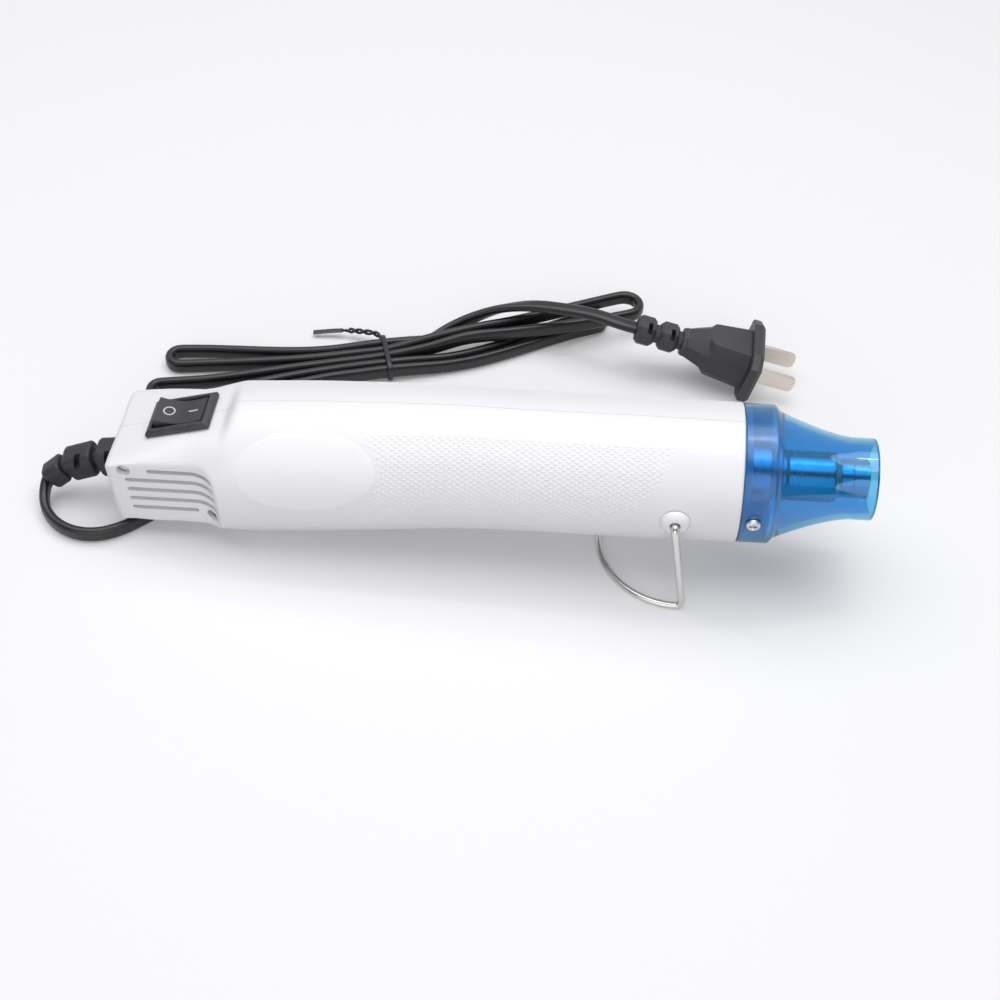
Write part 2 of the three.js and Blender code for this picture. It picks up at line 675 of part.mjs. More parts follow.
// Barrel, heater and the parts that carry them

function heatBarrel() {
  const outline = [
    [BARREL_REAR_S, BARREL_RADIUS], [BARREL_SHOULDER_S, BARREL_RADIUS], [NECK_S, NECK_RADIUS],
    [NECK_END_S, NECK_RADIUS], [MOUTH_S, MOUTH_RADIUS], [MOUTH_END_S, MOUTH_RADIUS],
  ];
  const lining = outline.map(([s, r]) => [s, r - BARREL_WALL]).reverse();
  return mesh('heat_barrel', turned([...outline, ...lining], BARREL_SIDES), STEEL);
}

function barrelRing() {
  const rim = FRONT_RADIUS - WALL - 2 * FIT;
  const bore = BARREL_RADIUS + FIT;
  const end = BARREL_RING_S + BARREL_RING_LENGTH;
  const profile = [[BARREL_RING_S, bore], [end, bore], [end, rim], [BARREL_RING_S, rim]];
  return mesh('barrel_ring', turned(profile, GUARD_SIDES), MICA);
}

const SLEEVE_RADIUS = BARREL_RADIUS - BARREL_WALL - FIT;
const CORE_REACH = SLEEVE_RADIUS - SLEEVE_WALL - FIT;
const CORE_RADIUS = CORE_REACH - 2 * COIL_WIRE_RADIUS - FIT;

function micaSleeve() {
  const bore = SLEEVE_RADIUS - SLEEVE_WALL;
  const profile = [
    [HEATER_REAR_S, bore], [HEATER_FRONT_S, bore],
    [HEATER_FRONT_S, SLEEVE_RADIUS], [HEATER_REAR_S, SLEEVE_RADIUS],
  ];
  return mesh('mica_sleeve', turned(profile, BARREL_SIDES), MICA);
}

// Four mica fins that carry the heating coil, with feet that reach the sleeve at each end.
function heaterCore() {
  const length = HEATER_FRONT_S - HEATER_REAR_S;
  const middle = (HEATER_FRONT_S + HEATER_REAR_S) / 2;
  const plate = (radius, from, to) => [
    box((from + to) / 2, 0, 0, to - from, CORE_BOARD, 2 * radius),
    box((from + to) / 2, 0, 0, to - from, 2 * radius, CORE_BOARD),
  ];
  const parts = [
    ...plate(CORE_RADIUS, middle - length / 2, middle + length / 2),
    ...plate(CORE_REACH, HEATER_REAR_S, HEATER_REAR_S + CORE_FOOT),
    ...plate(CORE_REACH, HEATER_FRONT_S - CORE_FOOT, HEATER_FRONT_S),
  ].map(toSolid);
  return mesh('heater_core', parts.reduce((a, b) => a.add(b)), MICA);
}

function heaterCoil() {
  const from = HEATER_REAR_S + COIL_CLEAR;
  const length = HEATER_FRONT_S - COIL_CLEAR - from;
  const radius = CORE_RADIUS + FIT + COIL_WIRE_RADIUS;
  const steps = COIL_TURNS * 12;
  const rings = Array.from({ length: steps + 1 }, (_, i) => {
    const turn = (2 * Math.PI * i * COIL_TURNS) / steps;
    const s = from + (length * i) / steps;
    return Array.from({ length: 4 }, (_, j) => {
      const around = (Math.PI * j) / 2;
      const r = radius + COIL_WIRE_RADIUS * Math.cos(around);
      const along = s + COIL_WIRE_RADIUS * Math.sin(around);
      return new THREE.Vector3(along, r * Math.cos(turn), r * Math.sin(turn));
    });
  });
  return mesh('heater_coil', loft(rings), NICHROME);
}

function thermalFuse() {
  const s = HEATER_REAR_S - FIT - FUSE_LENGTH;
  return mesh('thermal_fuse', rodX(s, FUSE_LENGTH, FUSE_RADIUS, 0, 0, 12), STEEL);
}

function airFunnel() {
  const rim = roundRadius(FUNNEL_REAR_S) - WALL - 2 * FIT;
  const lip = BARREL_RADIUS + FIT;
  const profile = [
    [FUNNEL_REAR_S, rim], [FUNNEL_REAR_S + FUNNEL_RIM, rim], [FUNNEL_NECK_S, lip + FUNNEL_WALL],
    [FUNNEL_END_S, lip + FUNNEL_WALL], [FUNNEL_END_S, lip], [FUNNEL_NECK_S, lip],
    [FUNNEL_REAR_S + FUNNEL_RIM, rim - FUNNEL_WALL], [FUNNEL_REAR_S, rim - FUNNEL_WALL],
  ];
  return mesh('air_funnel', turned(profile, BARREL_SIDES), MICA);
}

// Motor, fan and rectifier

function motorCan() {
  const socket = MOTOR_FRONT_S + MOTOR_BOSS_LENGTH - MOTOR_SHAFT_SOCKET;
  const bore = SHAFT_RADIUS + FIT;
  const profile = [
    [MOTOR_REAR_S, 0], [MOTOR_REAR_S, MOTOR_RADIUS], [MOTOR_FRONT_S - MOTOR_ROUND, MOTOR_RADIUS],
    [MOTOR_FRONT_S, MOTOR_RADIUS - MOTOR_ROUND],
    [MOTOR_FRONT_S, MOTOR_BOSS_RADIUS], [MOTOR_FRONT_S + MOTOR_BOSS_LENGTH, MOTOR_BOSS_RADIUS],
    [MOTOR_FRONT_S + MOTOR_BOSS_LENGTH, bore], [socket, bore], [socket, 0],
  ];
  return mesh('motor_can', turned(profile, 24), STEEL);
}

function motorEndCap() {
  const rear = MOTOR_REAR_S - FIT - END_CAP_LENGTH;
  const cap = turned([
    [rear, 0], [rear, MOTOR_RADIUS - END_CAP_INSET - END_CAP_CHAMFER],
    [rear + END_CAP_CHAMFER, MOTOR_RADIUS - END_CAP_INSET],
    [MOTOR_REAR_S - FIT, MOTOR_RADIUS - END_CAP_INSET], [MOTOR_REAR_S - FIT, 0],
  ], 24);
  return mesh('motor_end_cap', cap, BLACK);
}

function motorShaft() {
  const rear = MOTOR_FRONT_S + MOTOR_BOSS_LENGTH - MOTOR_SHAFT_SOCKET + FIT;
  return mesh('motor_shaft', rodX(rear, SHAFT_FRONT_S - rear, SHAFT_RADIUS, 0, 0, 10), STEEL);
}

function fanImpeller() {
  const bore = SHAFT_RADIUS + FIT;
  const hub = turned([
    [FAN_S, bore], [FAN_S + FAN_DEPTH, bore], [FAN_S + FAN_DEPTH, FAN_HUB_RADIUS - FAN_HUB_CHAMFER],
    [FAN_S + FAN_DEPTH - FAN_HUB_CHAMFER, FAN_HUB_RADIUS], [FAN_S, FAN_HUB_RADIUS],
  ], 21);
  let fan = toSolid(hub);
  const root = FAN_HUB_RADIUS - FAN_BLADE_THICKNESS;
  for (let i = 0; i < FAN_BLADES; i += 1) {
    const rings = [root, mix(root, FAN_RADIUS, 0.5), FAN_RADIUS].map((r, k) => {
      const twist = FAN_PITCH + k * FAN_TWIST;
      const chord = (FAN_DEPTH / 2 - FAN_BLADE_MARGIN) / Math.cos(FAN_PITCH);
      const along = new THREE.Vector2(Math.cos(twist), Math.sin(twist));
      const across = new THREE.Vector2(-along.y, along.x).multiplyScalar(FAN_BLADE_THICKNESS / 2);
      return [[-1, -1], [1, -1], [1, 1], [-1, 1]].map(([a, b]) => {
        const p = along.clone().multiplyScalar(a * chord).addScaledVector(across, b);
        return new THREE.Vector3(FAN_S + FAN_DEPTH / 2 + p.x, p.y, r);
      });
    });
    const blade = loft(rings.reverse()).rotateX((2 * Math.PI * i) / FAN_BLADES);
    fan = fan.add(toSolid(blade));
  }
  return mesh('fan_impeller', fan, BLACK);
}

// Spoked disc that fills the housing and grips the motor.
function motorMount() {
  const middle = MOUNT_S + MOUNT_DEPTH / 2;
  const rim = roundRadius(MOUNT_S + MOUNT_DEPTH) - WALL - 2 * FIT;
  const offset = droop(MOUNT_S + MOUNT_DEPTH);
  const grip = MOTOR_RADIUS + FIT;
  const circle = (radius, y, sides) => {
    const points = roundShape(radius, radius, sides).getPoints();
    return points.map((p) => p.setY(p.y + y));
  };
  const disc = new THREE.Shape(circle(rim, offset, 32));
  disc.holes.push(new THREE.Path(circle(grip, 0, 24)));
  for (let i = 0; i < MOUNT_SPOKES; i += 1) {
    const slot = [];
    const span = (2 * Math.PI) / MOUNT_SPOKES;
    const centre = span * (i + 0.5);
    for (const [t, out] of [[-0.32, 0], [0, 0], [0.32, 0], [0.32, 1], [0, 1], [-0.32, 1]]) {
      const angle = centre + span * t;
      const inner = grip + MOUNT_GRIP;
      const room = rim - MOUNT_RIM + offset * Math.sin(angle);
      const r = out ? room : inner;
      slot.push(new THREE.Vector2(r * Math.cos(angle), r * Math.sin(angle)));
    }
    disc.holes.push(new THREE.Path(slot));
  }
  const plate = new THREE.ExtrudeGeometry(disc, { depth: MOUNT_DEPTH, bevelEnabled: false, curveSegments: 1 });
  plate.translate(0, 0, -MOUNT_DEPTH / 2).rotateX(Math.PI / 2).rotateZ(Math.PI / 2).translate(middle, 0, 0);
  return mesh('motor_mount', plate, BLACK);
}

const BOARD_S = MOTOR_REAR_S - 2 * FIT - END_CAP_LENGTH - BOARD_THICKNESS;

function rectifier() {
  const board = box(BOARD_S + BOARD_THICKNESS / 2, 0, 0, BOARD_THICKNESS, BOARD_SIDE, BOARD_HEIGHT);
  const diodes = [[-1, -1], [-1, 1], [1, -1], [1, 1]].map(([iy, iz], i) => {
    const y = (iy * DIODE_PITCH_Y) / 2;
    const z = (iz * DIODE_PITCH_Z) / 2;
    const s = BOARD_S - FIT - DIODE_RADIUS;
    const body = rodY(s, z, y - DIODE_LENGTH / 2, y + DIODE_LENGTH / 2, DIODE_RADIUS, 10);
    return mesh(`diode_${i + 1}`, body, BLACK);
  });
  return [mesh('rectifier_board', board, BOARD), ...diodes];
}

// Rocker switch, in the panel's own frame: X up the slope, Z out of the panel

function switchFrame() {
  const bezel = loft([0, BEZEL_HEIGHT - 0.7, BEZEL_HEIGHT].map((z, i) => {
    const trim = i === 2 ? 0.7 : 0;
    const x = BEZEL_LENGTH / 2 - trim;
    const y = BEZEL_WIDTH / 2 - trim;
    return [[-x, -y], [x, -y], [x, y], [-x, y]].map(([px, py]) => new THREE.Vector3(px, py, z + FIT));
  }));
  const below = FIT - SWITCH_BODY_DEPTH / 2;
  const body = box(0, 0, below, SWITCH_BODY_LENGTH, SWITCH_BODY_WIDTH, SWITCH_BODY_DEPTH + 0.5);
  const swing = ROCKER_END_HEIGHT * Math.sin(ROCKER_THROW);
  const reach = ROCKER_HALF_LENGTH * Math.cos(ROCKER_THROW) + swing + FIT;
  const depth = SWITCH_POCKET_DEPTH + 2 * BEZEL_HEIGHT;
  const pocket = box(0, 0, depth / 2 - SWITCH_POCKET_DEPTH, 2 * reach, ROCKER_WIDTH + 2 * RUNNING, depth);
  return mesh('switch_frame', toSolid(bezel).add(toSolid(body)).subtract(toSolid(pocket)), BLACK);
}

function switchRocker() {
  const x = ROCKER_HALF_LENGTH;
  const hollow = mix(ROCKER_WAIST_HEIGHT, ROCKER_END_HEIGHT, 0.36);
  const outline = [
    [-x, ROCKER_END_HEIGHT], [-x * 0.55, hollow], [0, ROCKER_WAIST_HEIGHT], [x * 0.55, hollow],
    [x, ROCKER_END_HEIGHT],
    [x - 0.2, -0.6], [x * 0.4, -ROCKER_KEEL], [-x * 0.4, -ROCKER_KEEL], [0.2 - x, -0.6],
  ];
  const shape = new THREE.Shape(outline.map(([px, pz]) => new THREE.Vector2(px, pz)));
  const rocker = new THREE.ExtrudeGeometry(shape, { depth: ROCKER_WIDTH, bevelEnabled: false });
  rocker.translate(0, 0, -ROCKER_WIDTH / 2).rotateX(Math.PI / 2);
  const piece = mesh('switch_rocker', rocker, BLACK);
  piece.position.z = ROCKER_PIVOT_Z + FIT;
  piece.rotation.y = ROCKER_THROW;
  return piece;
}

function switchTerminals() {
  const top = FIT - SWITCH_BODY_DEPTH - 0.25 - FIT;
  return [['switch_terminal_rear', -1], ['switch_terminal_front', 1]].map(([name, side]) => {
    const x = (side * TERMINAL_PITCH) / 2;
    const z = top - TERMINAL_LENGTH / 2;
    const blade = box(x, 0, z, TERMINAL_THICKNESS, TERMINAL_WIDTH, TERMINAL_LENGTH);
    return mesh(name, blade, BRASS);
  });
}

// Wire stand: two legs and a curved foot, bent from one wire. Its frame has the pivot at the origin

const PIVOT_HEIGHT = SEAM_HEIGHT + PIVOT_S * Math.sin(TILT);
const LEG_DROP = PIVOT_HEIGHT - WIRE_RADIUS;

const STAND_WIDTH = 2 * (GRIP_RADIUS + FIT + BUSH_HEIGHT + LEG_CLEARANCE + WIRE_RADIUS); // between the legs

class FootArc extends THREE.Curve {
  getPoint(t, target = new THREE.Vector3()) {
    const angle = Math.PI * t;
    const half = STAND_WIDTH / 2;
    const heel = LEG_DROP * Math.tan(LEG_LEAN) - FOOT_BEND;
    return target.set(heel - FOOT_DEPTH * Math.sin(angle), -half * Math.cos(angle), -LEG_DROP);
  }
}

function standPath() {
  const half = STAND_WIDTH / 2;
  const reach = LEG_DROP * Math.tan(LEG_LEAN);
  const down = vector([Math.sin(LEG_LEAN), 0, -Math.cos(LEG_LEAN)]);
  const path = new THREE.CurvePath();
  const leg = (side) => {
    const corner = vector([0, side * half, 0]);
    const heel = vector([reach, side * half, -LEG_DROP]);
    return {
      end: vector([0, side * WIRE_END_Y, 0]),
      turn: vector([0, side * (half - LEG_BEND), 0]),
      corner,
      start: corner.clone().addScaledVector(down, LEG_BEND),
      low: heel.clone().addScaledVector(down, -FOOT_BEND),
      heel,
      foot: vector([reach - FOOT_BEND, side * half, -LEG_DROP]),
    };
  };
  const near = leg(-1);
  const far = leg(1);
  path.add(new THREE.LineCurve3(near.end, near.turn));
  path.add(new THREE.QuadraticBezierCurve3(near.turn, near.corner, near.start));
  path.add(new THREE.LineCurve3(near.start, near.low));
  path.add(new THREE.QuadraticBezierCurve3(near.low, near.heel, near.foot));
  path.add(new FootArc());
  path.add(new THREE.QuadraticBezierCurve3(far.foot, far.heel, far.low));
  path.add(new THREE.LineCurve3(far.low, far.start));
  path.add(new THREE.QuadraticBezierCurve3(far.start, far.corner, far.turn));
  path.add(new THREE.LineCurve3(far.turn, far.end));
  return path;
}

function wireStand() {
  return mesh('wire_stand', tube(standPath(), roundShape(WIRE_RADIUS, WIRE_RADIUS, 8), 72), STEEL);
}

function standBushes() {
  const seat = roundRadius(PIVOT_S) + FIT;
  const bore = WIRE_RADIUS + FIT;
  const top = seat + BUSH_HEIGHT;
  const profile = [
    [bore, BUSH_STEM_END_Y], [BUSH_STEM_RADIUS, BUSH_STEM_END_Y], [BUSH_STEM_RADIUS, seat], [BUSH_RADIUS, seat],
    [BUSH_RADIUS, seat + BUSH_HEIGHT * 0.3], [BUSH_RADIUS * 0.87, seat + BUSH_HEIGHT * 0.68],
    [BUSH_RADIUS * 0.62, top],
    [bore + BUSH_MOUTH, top], [bore, top - BUSH_HEIGHT * 0.5],
  ].map(([r, y]) => new THREE.Vector2(r, y));
  return [['stand_bush_right', -1], ['stand_bush_left', 1]].map(([name, side]) => {
    const bush = new THREE.LatheGeometry([...profile, profile[0]], 20);
    return mesh(name, bush.rotateX(side < 0 ? Math.PI : 0).translate(PIVOT_S, 0, 0), WHITE);
  });
}

// Strain relief: a flange inside the rear wall, a neck in the hole and a drooping row of ribs

function reliefCurve() {
  const root = REAR_S - FIT;
  return new THREE.QuadraticBezierCurve3(
    vector([root, 0, RELIEF_Z]),
    vector([root - RELIEF_REACH * 0.7, 0, RELIEF_Z - 1.1]),
    vector([root - RELIEF_REACH, RELIEF_ASIDE, RELIEF_Z - RELIEF_DROP]),
  );
}

function reliefRing(centre, tangent, radius) {
  const upright = vector([0, 1, 0]).cross(tangent).normalize();
  const aside = tangent.clone().cross(upright);
  return Array.from({ length: 14 }, (_, i) => {
    const angle = (2 * Math.PI * i) / 14;
    const rise = upright.clone().multiplyScalar(radius * Math.cos(angle));
    return centre.clone().add(rise).addScaledVector(aside, radius * Math.sin(angle));
  });
}

function strainRelief() {
  const curve = reliefCurve();
  const length = curve.getLength();
  const inward = vector([-1, 0, 0]);
  const inside = REAR_S + WALL + FIT;
  const rings = [
    reliefRing(vector([inside + RELIEF_FLANGE, 0, RELIEF_Z]), inward, RELIEF_FLANGE_RADIUS),
    reliefRing(vector([inside, 0, RELIEF_Z]), inward, RELIEF_FLANGE_RADIUS),
    reliefRing(vector([inside, 0, RELIEF_Z]), inward, RELIEF_NECK_RADIUS),
    reliefRing(vector([REAR_S - FIT, 0, RELIEF_Z]), inward, RELIEF_NECK_RADIUS),
  ];
  const pitch = length / RELIEF_RIBS;
  for (let i = 0; i < RELIEF_RIBS; i += 1) {
    const from = i === 0 ? 0 : i * pitch + RELIEF_GROOVE / 2;
    const to = i === RELIEF_RIBS - 1 ? length : (i + 1) * pitch - RELIEF_GROOVE / 2;
    const taper = (at) => mix(RELIEF_ROOT_RADIUS, RELIEF_END_RADIUS, at / length);
    for (const at of [from, (from + to) / 2, to]) {
      rings.push(reliefRing(curve.getPointAt(at / length), curve.getTangentAt(at / length), taper(at)));
    }
    if (i < RELIEF_RIBS - 1) {
      const core = taper(to) - RELIEF_GROOVE_DEPTH;
      for (const at of [to + 0.05, to + RELIEF_GROOVE - 0.05]) {
        rings.push(reliefRing(curve.getPointAt(at / length), curve.getTangentAt(at / length), core));
      }
    }
  }
  return mesh('strain_relief', loft(rings), RUBBER);
}

// Mains cord in three lengths: the tail, the hank and the lead to the plug

const tool = new THREE.Group();
tool.position.set(SEAM_X, 0, SEAM_HEIGHT);
tool.rotation.y = -TILT;
tool.updateMatrixWorld();

const cordShape = () => roundShape(CORD_THICKNESS / 2, CORD_WIDTH / 2, CORD_SIDES, 2.6);

// A point of the hank: how far along from the waist and how far to the side, on the bowed centre line.
function hankPoint(along, aside, raised = false) {
  const angle = along / HANK_BOW;
  const x = HANK_BOW * Math.sin(angle) - aside * Math.sin(angle);
  const y = HANK_BOW * (1 - Math.cos(angle)) + aside * Math.cos(angle);
  const over = raised ? RAISED_LIFT * smoothstep(along, RAISED_FROM, RAISED_TO) : 0;
  const lift = WAIST_LIFT * Math.exp(-((along / WAIST_EASE) ** 2)) + over;
  const c = Math.cos(HANK_TURN);
  const s = Math.sin(HANK_TURN);
  return new THREE.Vector3(HANK_X + x * c - y * s, HANK_Y + x * s + y * c, CORD_Z + lift);
}

function waistOffset(run) {
  return WAIST_ASIDE + (run - (HANK_RUNS - 1) / 2) * WAIST_STEP;
}

// Side offset along a run, which eases from the waist out to the fold that it ends in.
function runOffset(run, along, end, fold) {
  return mix(waistOffset(run), fold, smoothstep(Math.abs(along / end), WAIST_SHARE, 1));
}

function hankPath() {
  const points = [];
  for (let run = 0; run < HANK_RUNS; run += 1) {
    const forward = run % 2 === 0;
    const sign = forward ? 1 : -1;
    const raised = RAISED_RUNS.includes(run);
    const before = FOLDS[run - 1];
    const after = FOLDS[run];
    const from = before ? [before[0], before[1] + before[2]] : [HANK_START * 2.4, FIRST_RUN_REAR * 1.5];
    const to = after ? [after[0], after[1] - after[2]] : [HANK_END * 6, waistOffset(run) + 4];
    const first = run === 0 ? HANK_START : from[0];
    const last = run === HANK_RUNS - 1 ? HANK_END : to[0];
    for (let i = 0; i <= RUN_STEPS; i += 1) {
      const along = mix(first, last, i / RUN_STEPS);
      const [end, fold] = along * sign < 0 ? from : to;
      points.push(hankPoint(along, runOffset(run, along, end, fold), raised));
    }
    if (after) {
      for (let i = 1; i < FOLD_STEPS; i += 1) {
        const angle = (Math.PI * i) / FOLD_STEPS;
        const [reach, aside, radius] = after;
        const out = reach + sign * radius * Math.sin(angle);
        points.push(hankPoint(out, aside - radius * Math.cos(angle), raised));
      }
    }
  }
  return points;
}

// One unbroken flat tube through the points, upright all along.
function cordRings(points, sides) {
  const section = roundShape(CORD_THICKNESS / 2, CORD_WIDTH / 2, sides, 2.6).getPoints().slice(0, sides);
  return points.map((p, i) => {
    const ahead = points[Math.min(i + 1, points.length - 1)];
    const behind = points[Math.max(i - 1, 0)];
    const tangent = ahead.clone().sub(behind).setZ(0).normalize();
    const aside = new THREE.Vector3(-tangent.y, tangent.x, 0);
    return section.map((q) => p.clone().addScaledVector(aside, q.x).add(vector([0, 0, q.y])));
  });
}

// Least gap between stretches of the hank that are more than a fold apart, less the cord's thickness.
function leastGap(points) {
  const apart = FOLD_STEPS + 3;
  let least = Infinity;
  points.forEach((p, i) => {
    for (let j = i + apart; j + 1 < points.length; j += 1) {
      const segment = new THREE.Line3(points[j], points[j + 1]);
      const nearest = segment.closestPointToPoint(p, true, new THREE.Vector3());
      least = Math.min(least, nearest.distanceTo(p) - CORD_THICKNESS);
    }
  });
  return least;
}

function pathLength(points) {
  return points.slice(1).reduce((sum, p, i) => sum + p.distanceTo(points[i]), 0);
}

function cordTail(hank) {
  const curve = reliefCurve();
  const start = tool.localToWorld(curve.getPointAt(1));
  const away = start.clone().sub(tool.localToWorld(curve.getPointAt(0.98))).normalize();
  const begin = start.clone().addScaledVector(away, FIT);
  const heading = hank[1].clone().sub(hank[0]).normalize();
  const points = [
    begin, begin.clone().addScaledVector(away, 1.2), ...TAIL_POINTS.map(vector),
    hank[0].clone().addScaledVector(heading, -4), hank[0].clone().addScaledVector(heading, -FIT),
  ];
  const path = new THREE.CatmullRomCurve3(points, false, 'centripetal');
  console.log(`cord tail length ${path.getLength().toFixed(1)}`);
  return mesh('cord_tail', tube(path, cordShape(), 40, () => 0), CORD);
}

function cordHank(points) {
  console.log(`cord hank length ${pathLength(points).toFixed(1)}, least gap ${leastGap(points).toFixed(2)}`);
  return mesh('cord_hank', loft(cordRings(points, HANK_SIDES)), CORD);
}

const plugAxis = vector([1, 0, 0]).applyEuler(new THREE.Euler(0, PLUG_PITCH, PLUG_TURN, 'ZYX'));

function cordLead(hank) {
  const heading = hank.at(-1).clone().sub(hank.at(-2)).normalize();
  const begin = hank.at(-1).clone().addScaledVector(heading, FIT);
  const finish = vector([PLUG_X, PLUG_Y, PLUG_Z]).addScaledVector(plugAxis, -FIT);
  const points = [
    begin, begin.clone().addScaledVector(heading, 3), ...LEAD_POINTS.map(vector),
    finish.clone().addScaledVector(plugAxis, -CORD_WIDTH), finish,
  ];
  const path = new THREE.CatmullRomCurve3(points, false, 'centripetal');
  console.log(`cord lead length ${path.getLength().toFixed(1)}`);
  const layFlat = (t) => (Math.PI / 2) * smoothstep(t, 0.12, 0.6);
  return mesh('cord_lead', tube(path, cordShape(), 26, layFlat), CORD);
}

function twistTie() {
  const bundle = (HANK_RUNS - 1) / 2 * WAIST_STEP + CORD_THICKNESS / 2 + FIT;
  const low = CORD_LIFT + WAIST_LIFT - FIT - TIE_THICKNESS;
  const high = CORD_LIFT + WAIST_LIFT + CORD_WIDTH + 2 * FIT + TIE_THICKNESS;
  const half = (high - low) / 2;
  const middle = (high + low) / 2;
  const outline = roundShape(bundle + TIE_THICKNESS, half, 28, 7);
  outline.holes.push(new THREE.Path(roundShape(bundle, half - TIE_THICKNESS, 28, 7).getPoints().reverse()));
  const ring = new THREE.ExtrudeGeometry(outline, { depth: TIE_WIDTH, bevelEnabled: false });
  ring.translate(0, 0, -TIE_WIDTH / 2).rotateX(Math.PI / 2).rotateZ(HANK_TURN + Math.PI / 2);
  const waist = hankPoint(0, WAIST_ASIDE);
  ring.translate(waist.x, waist.y, middle);
  const root = hankPoint(0, WAIST_ASIDE + bundle + TIE_THICKNESS / 2).setZ(middle);
  const path = new THREE.CatmullRomCurve3([root, ...TIE_TAIL_POINTS.map(vector)]);
  const strip = roundShape(TIE_WIDTH / 2, TIE_THICKNESS * 0.7, 6, 3);
  const tail = tube(path, strip, 26, (t) => Math.PI * TIE_TAIL_TURNS * t);
  return mesh('twist_tie', toSolid(ring).add(toSolid(tail)), BLACK);
}

// Plug in its own frame: X along the blades, Y across them

function plugSection(x, width, height, flank = 0.6) {
  const w = width / 2;
  const h = height / 2;
  const corner = [[w, h * flank], [w * 0.82, h * 0.94], [w * 0.5, h]];
  const upper = [...corner, ...corner.toReversed().map(([y, z]) => [-y, z])];
  const outline = [...upper, ...upper.toReversed().map(([y, z]) => [y, -z])];
  return outline.map(([y, z]) => new THREE.Vector3(x, y, z));
}

function plugBody() {
  const ribEnd = (i) => i * (BOOT_RIB + BOOT_GAP) + BOOT_RIB;
  const neck = PLUG_NECK;
  const shoulder = neck + PLUG_BODY_LENGTH;
  const boot = [0, 1].flatMap((i) => {
    const from = ribEnd(i) - BOOT_RIB;
    return [
      [from, BOOT_WIDTH * 0.86, BOOT_HEIGHT * 0.86], [from + 1.2, BOOT_WIDTH, BOOT_HEIGHT],
      [ribEnd(i) - 1.2, BOOT_WIDTH, BOOT_HEIGHT], [ribEnd(i), BOOT_WIDTH * 0.86, BOOT_HEIGHT * 0.86],
      [ribEnd(i) + 0.05, BOOT_CORE_WIDTH, BOOT_CORE_HEIGHT],
      [ribEnd(i) + BOOT_GAP - 0.05, BOOT_CORE_WIDTH, BOOT_CORE_HEIGHT],
    ];
  });
  const body = [
    [neck, BOOT_WIDTH, BOOT_HEIGHT], [neck + 2, BOOT_WIDTH * 1.15, BOOT_HEIGHT * 1.2],
    [mix(neck, shoulder, 0.45), mix(BOOT_WIDTH, PLUG_BODY_WIDTH, 0.72), PLUG_BODY_HEIGHT * 0.96],
    [shoulder, PLUG_BODY_WIDTH, PLUG_BODY_HEIGHT],
    [shoulder + 0.05, PLUG_FLANGE_WIDTH, PLUG_FLANGE_HEIGHT, FLANGE_FLANK],
    [PLUG_RIM, PLUG_FLANGE_WIDTH, PLUG_FLANGE_HEIGHT, FLANGE_FLANK],
    [shoulder + PLUG_FLANGE, PLUG_FLANGE_WIDTH * 0.93, PLUG_FLANGE_HEIGHT * 0.9, FLANGE_FLANK],
  ];
  const rings = [...boot, ...body].map((section) => plugSection(...section));
  return { piece: mesh('plug_body', loft(rings), BLACK), face: shoulder + PLUG_FLANGE };
}

function plugBlades(face) {
  return [['plug_blade_near', -1], ['plug_blade_far', 1]].map(([name, side]) => {
    const w = BLADE_WIDTH / 2;
    const end = BLADE_LENGTH;
    const outline = [
      [0, -w], [end - BLADE_CLIP, -w], [end, BLADE_CLIP - w],
      [end, w - BLADE_CLIP], [end - BLADE_CLIP, w], [0, w],
    ];
    const shape = new THREE.Shape(outline.map(([x, z]) => new THREE.Vector2(x, z)));
    const blade = new THREE.ExtrudeGeometry(shape, { depth: BLADE_THICKNESS, bevelEnabled: false });
    blade.translate(0, 0, -BLADE_THICKNESS / 2).rotateX(Math.PI / 2);
    return mesh(name, blade.translate(face + FIT, (side * BLADE_PITCH) / 2, 0), NICKEL);
  });
}

// Wiring in the tail, from the strain relief to the switch and on to the rectifier

function wiring() {
  const c = Math.cos(PANEL_SLOPE);
  const s = Math.sin(PANEL_SLOPE);
  const foot = FIT - SWITCH_BODY_DEPTH - 0.25 - FIT - TERMINAL_LENGTH;
  const below = (side) => {
    const x = (side * TERMINAL_PITCH) / 2;
    return vector([SWITCH_S + x * c - foot * s, 0, SWITCH_Z + x * s + foot * c]);
  };
  const relief = REAR_S + WALL + RELIEF_FLANGE + 2 * FIT;
  const drop = FIT + LEAD_RADIUS;
  const wire = (name, points) => {
    const path = new THREE.CatmullRomCurve3(points.map((p) => (p.isVector3 ? p : vector(p))));
    return mesh(name, tube(path, roundShape(LEAD_RADIUS, LEAD_RADIUS, 6), 10), COPPER_LEAD);
  };
  const rear = below(-1).add(vector([0, 0, -drop]));
  const front = below(1).add(vector([0, 0, -drop]));
  const board = BOARD_S - FIT;
  const low = -BOARD_HEIGHT / 2 + LEAD_RADIUS;
  const over = low - LEAD_RADIUS / 3;
  return [
    wire('supply_lead_live', [
      [relief, LEAD_PAIR, RELIEF_Z], [relief + LEAD_SLACK, LEAD_PAIR, RELIEF_Z - LEAD_RADIUS],
      rear.clone().add(vector([-LEAD_PAIR, 0, -LEAD_RADIUS / 2])), rear.clone().add(vector([LEAD_PAIR, 0, 0])),
    ]),
    wire('supply_lead_neutral', [
      [relief, -LEAD_PAIR, RELIEF_Z], [relief + 2 * LEAD_SLACK, -LEAD_ASIDE, RELIEF_Z],
      [mix(relief, board, 0.6), -LEAD_ASIDE, over], [board, -LEAD_ASIDE, low],
    ]),
    wire('switched_lead', [
      front.clone().add(vector([-LEAD_PAIR, 0, 0])), front.clone().add(vector([LEAD_PAIR, 0, 0])),
      [mix(front.x, board, 0.6), LEAD_ASIDE, over], [board, LEAD_ASIDE, low],
    ]),
  ];
}

// Assembly

const part = new THREE.Group();
part.name = 'hot_air_tool';

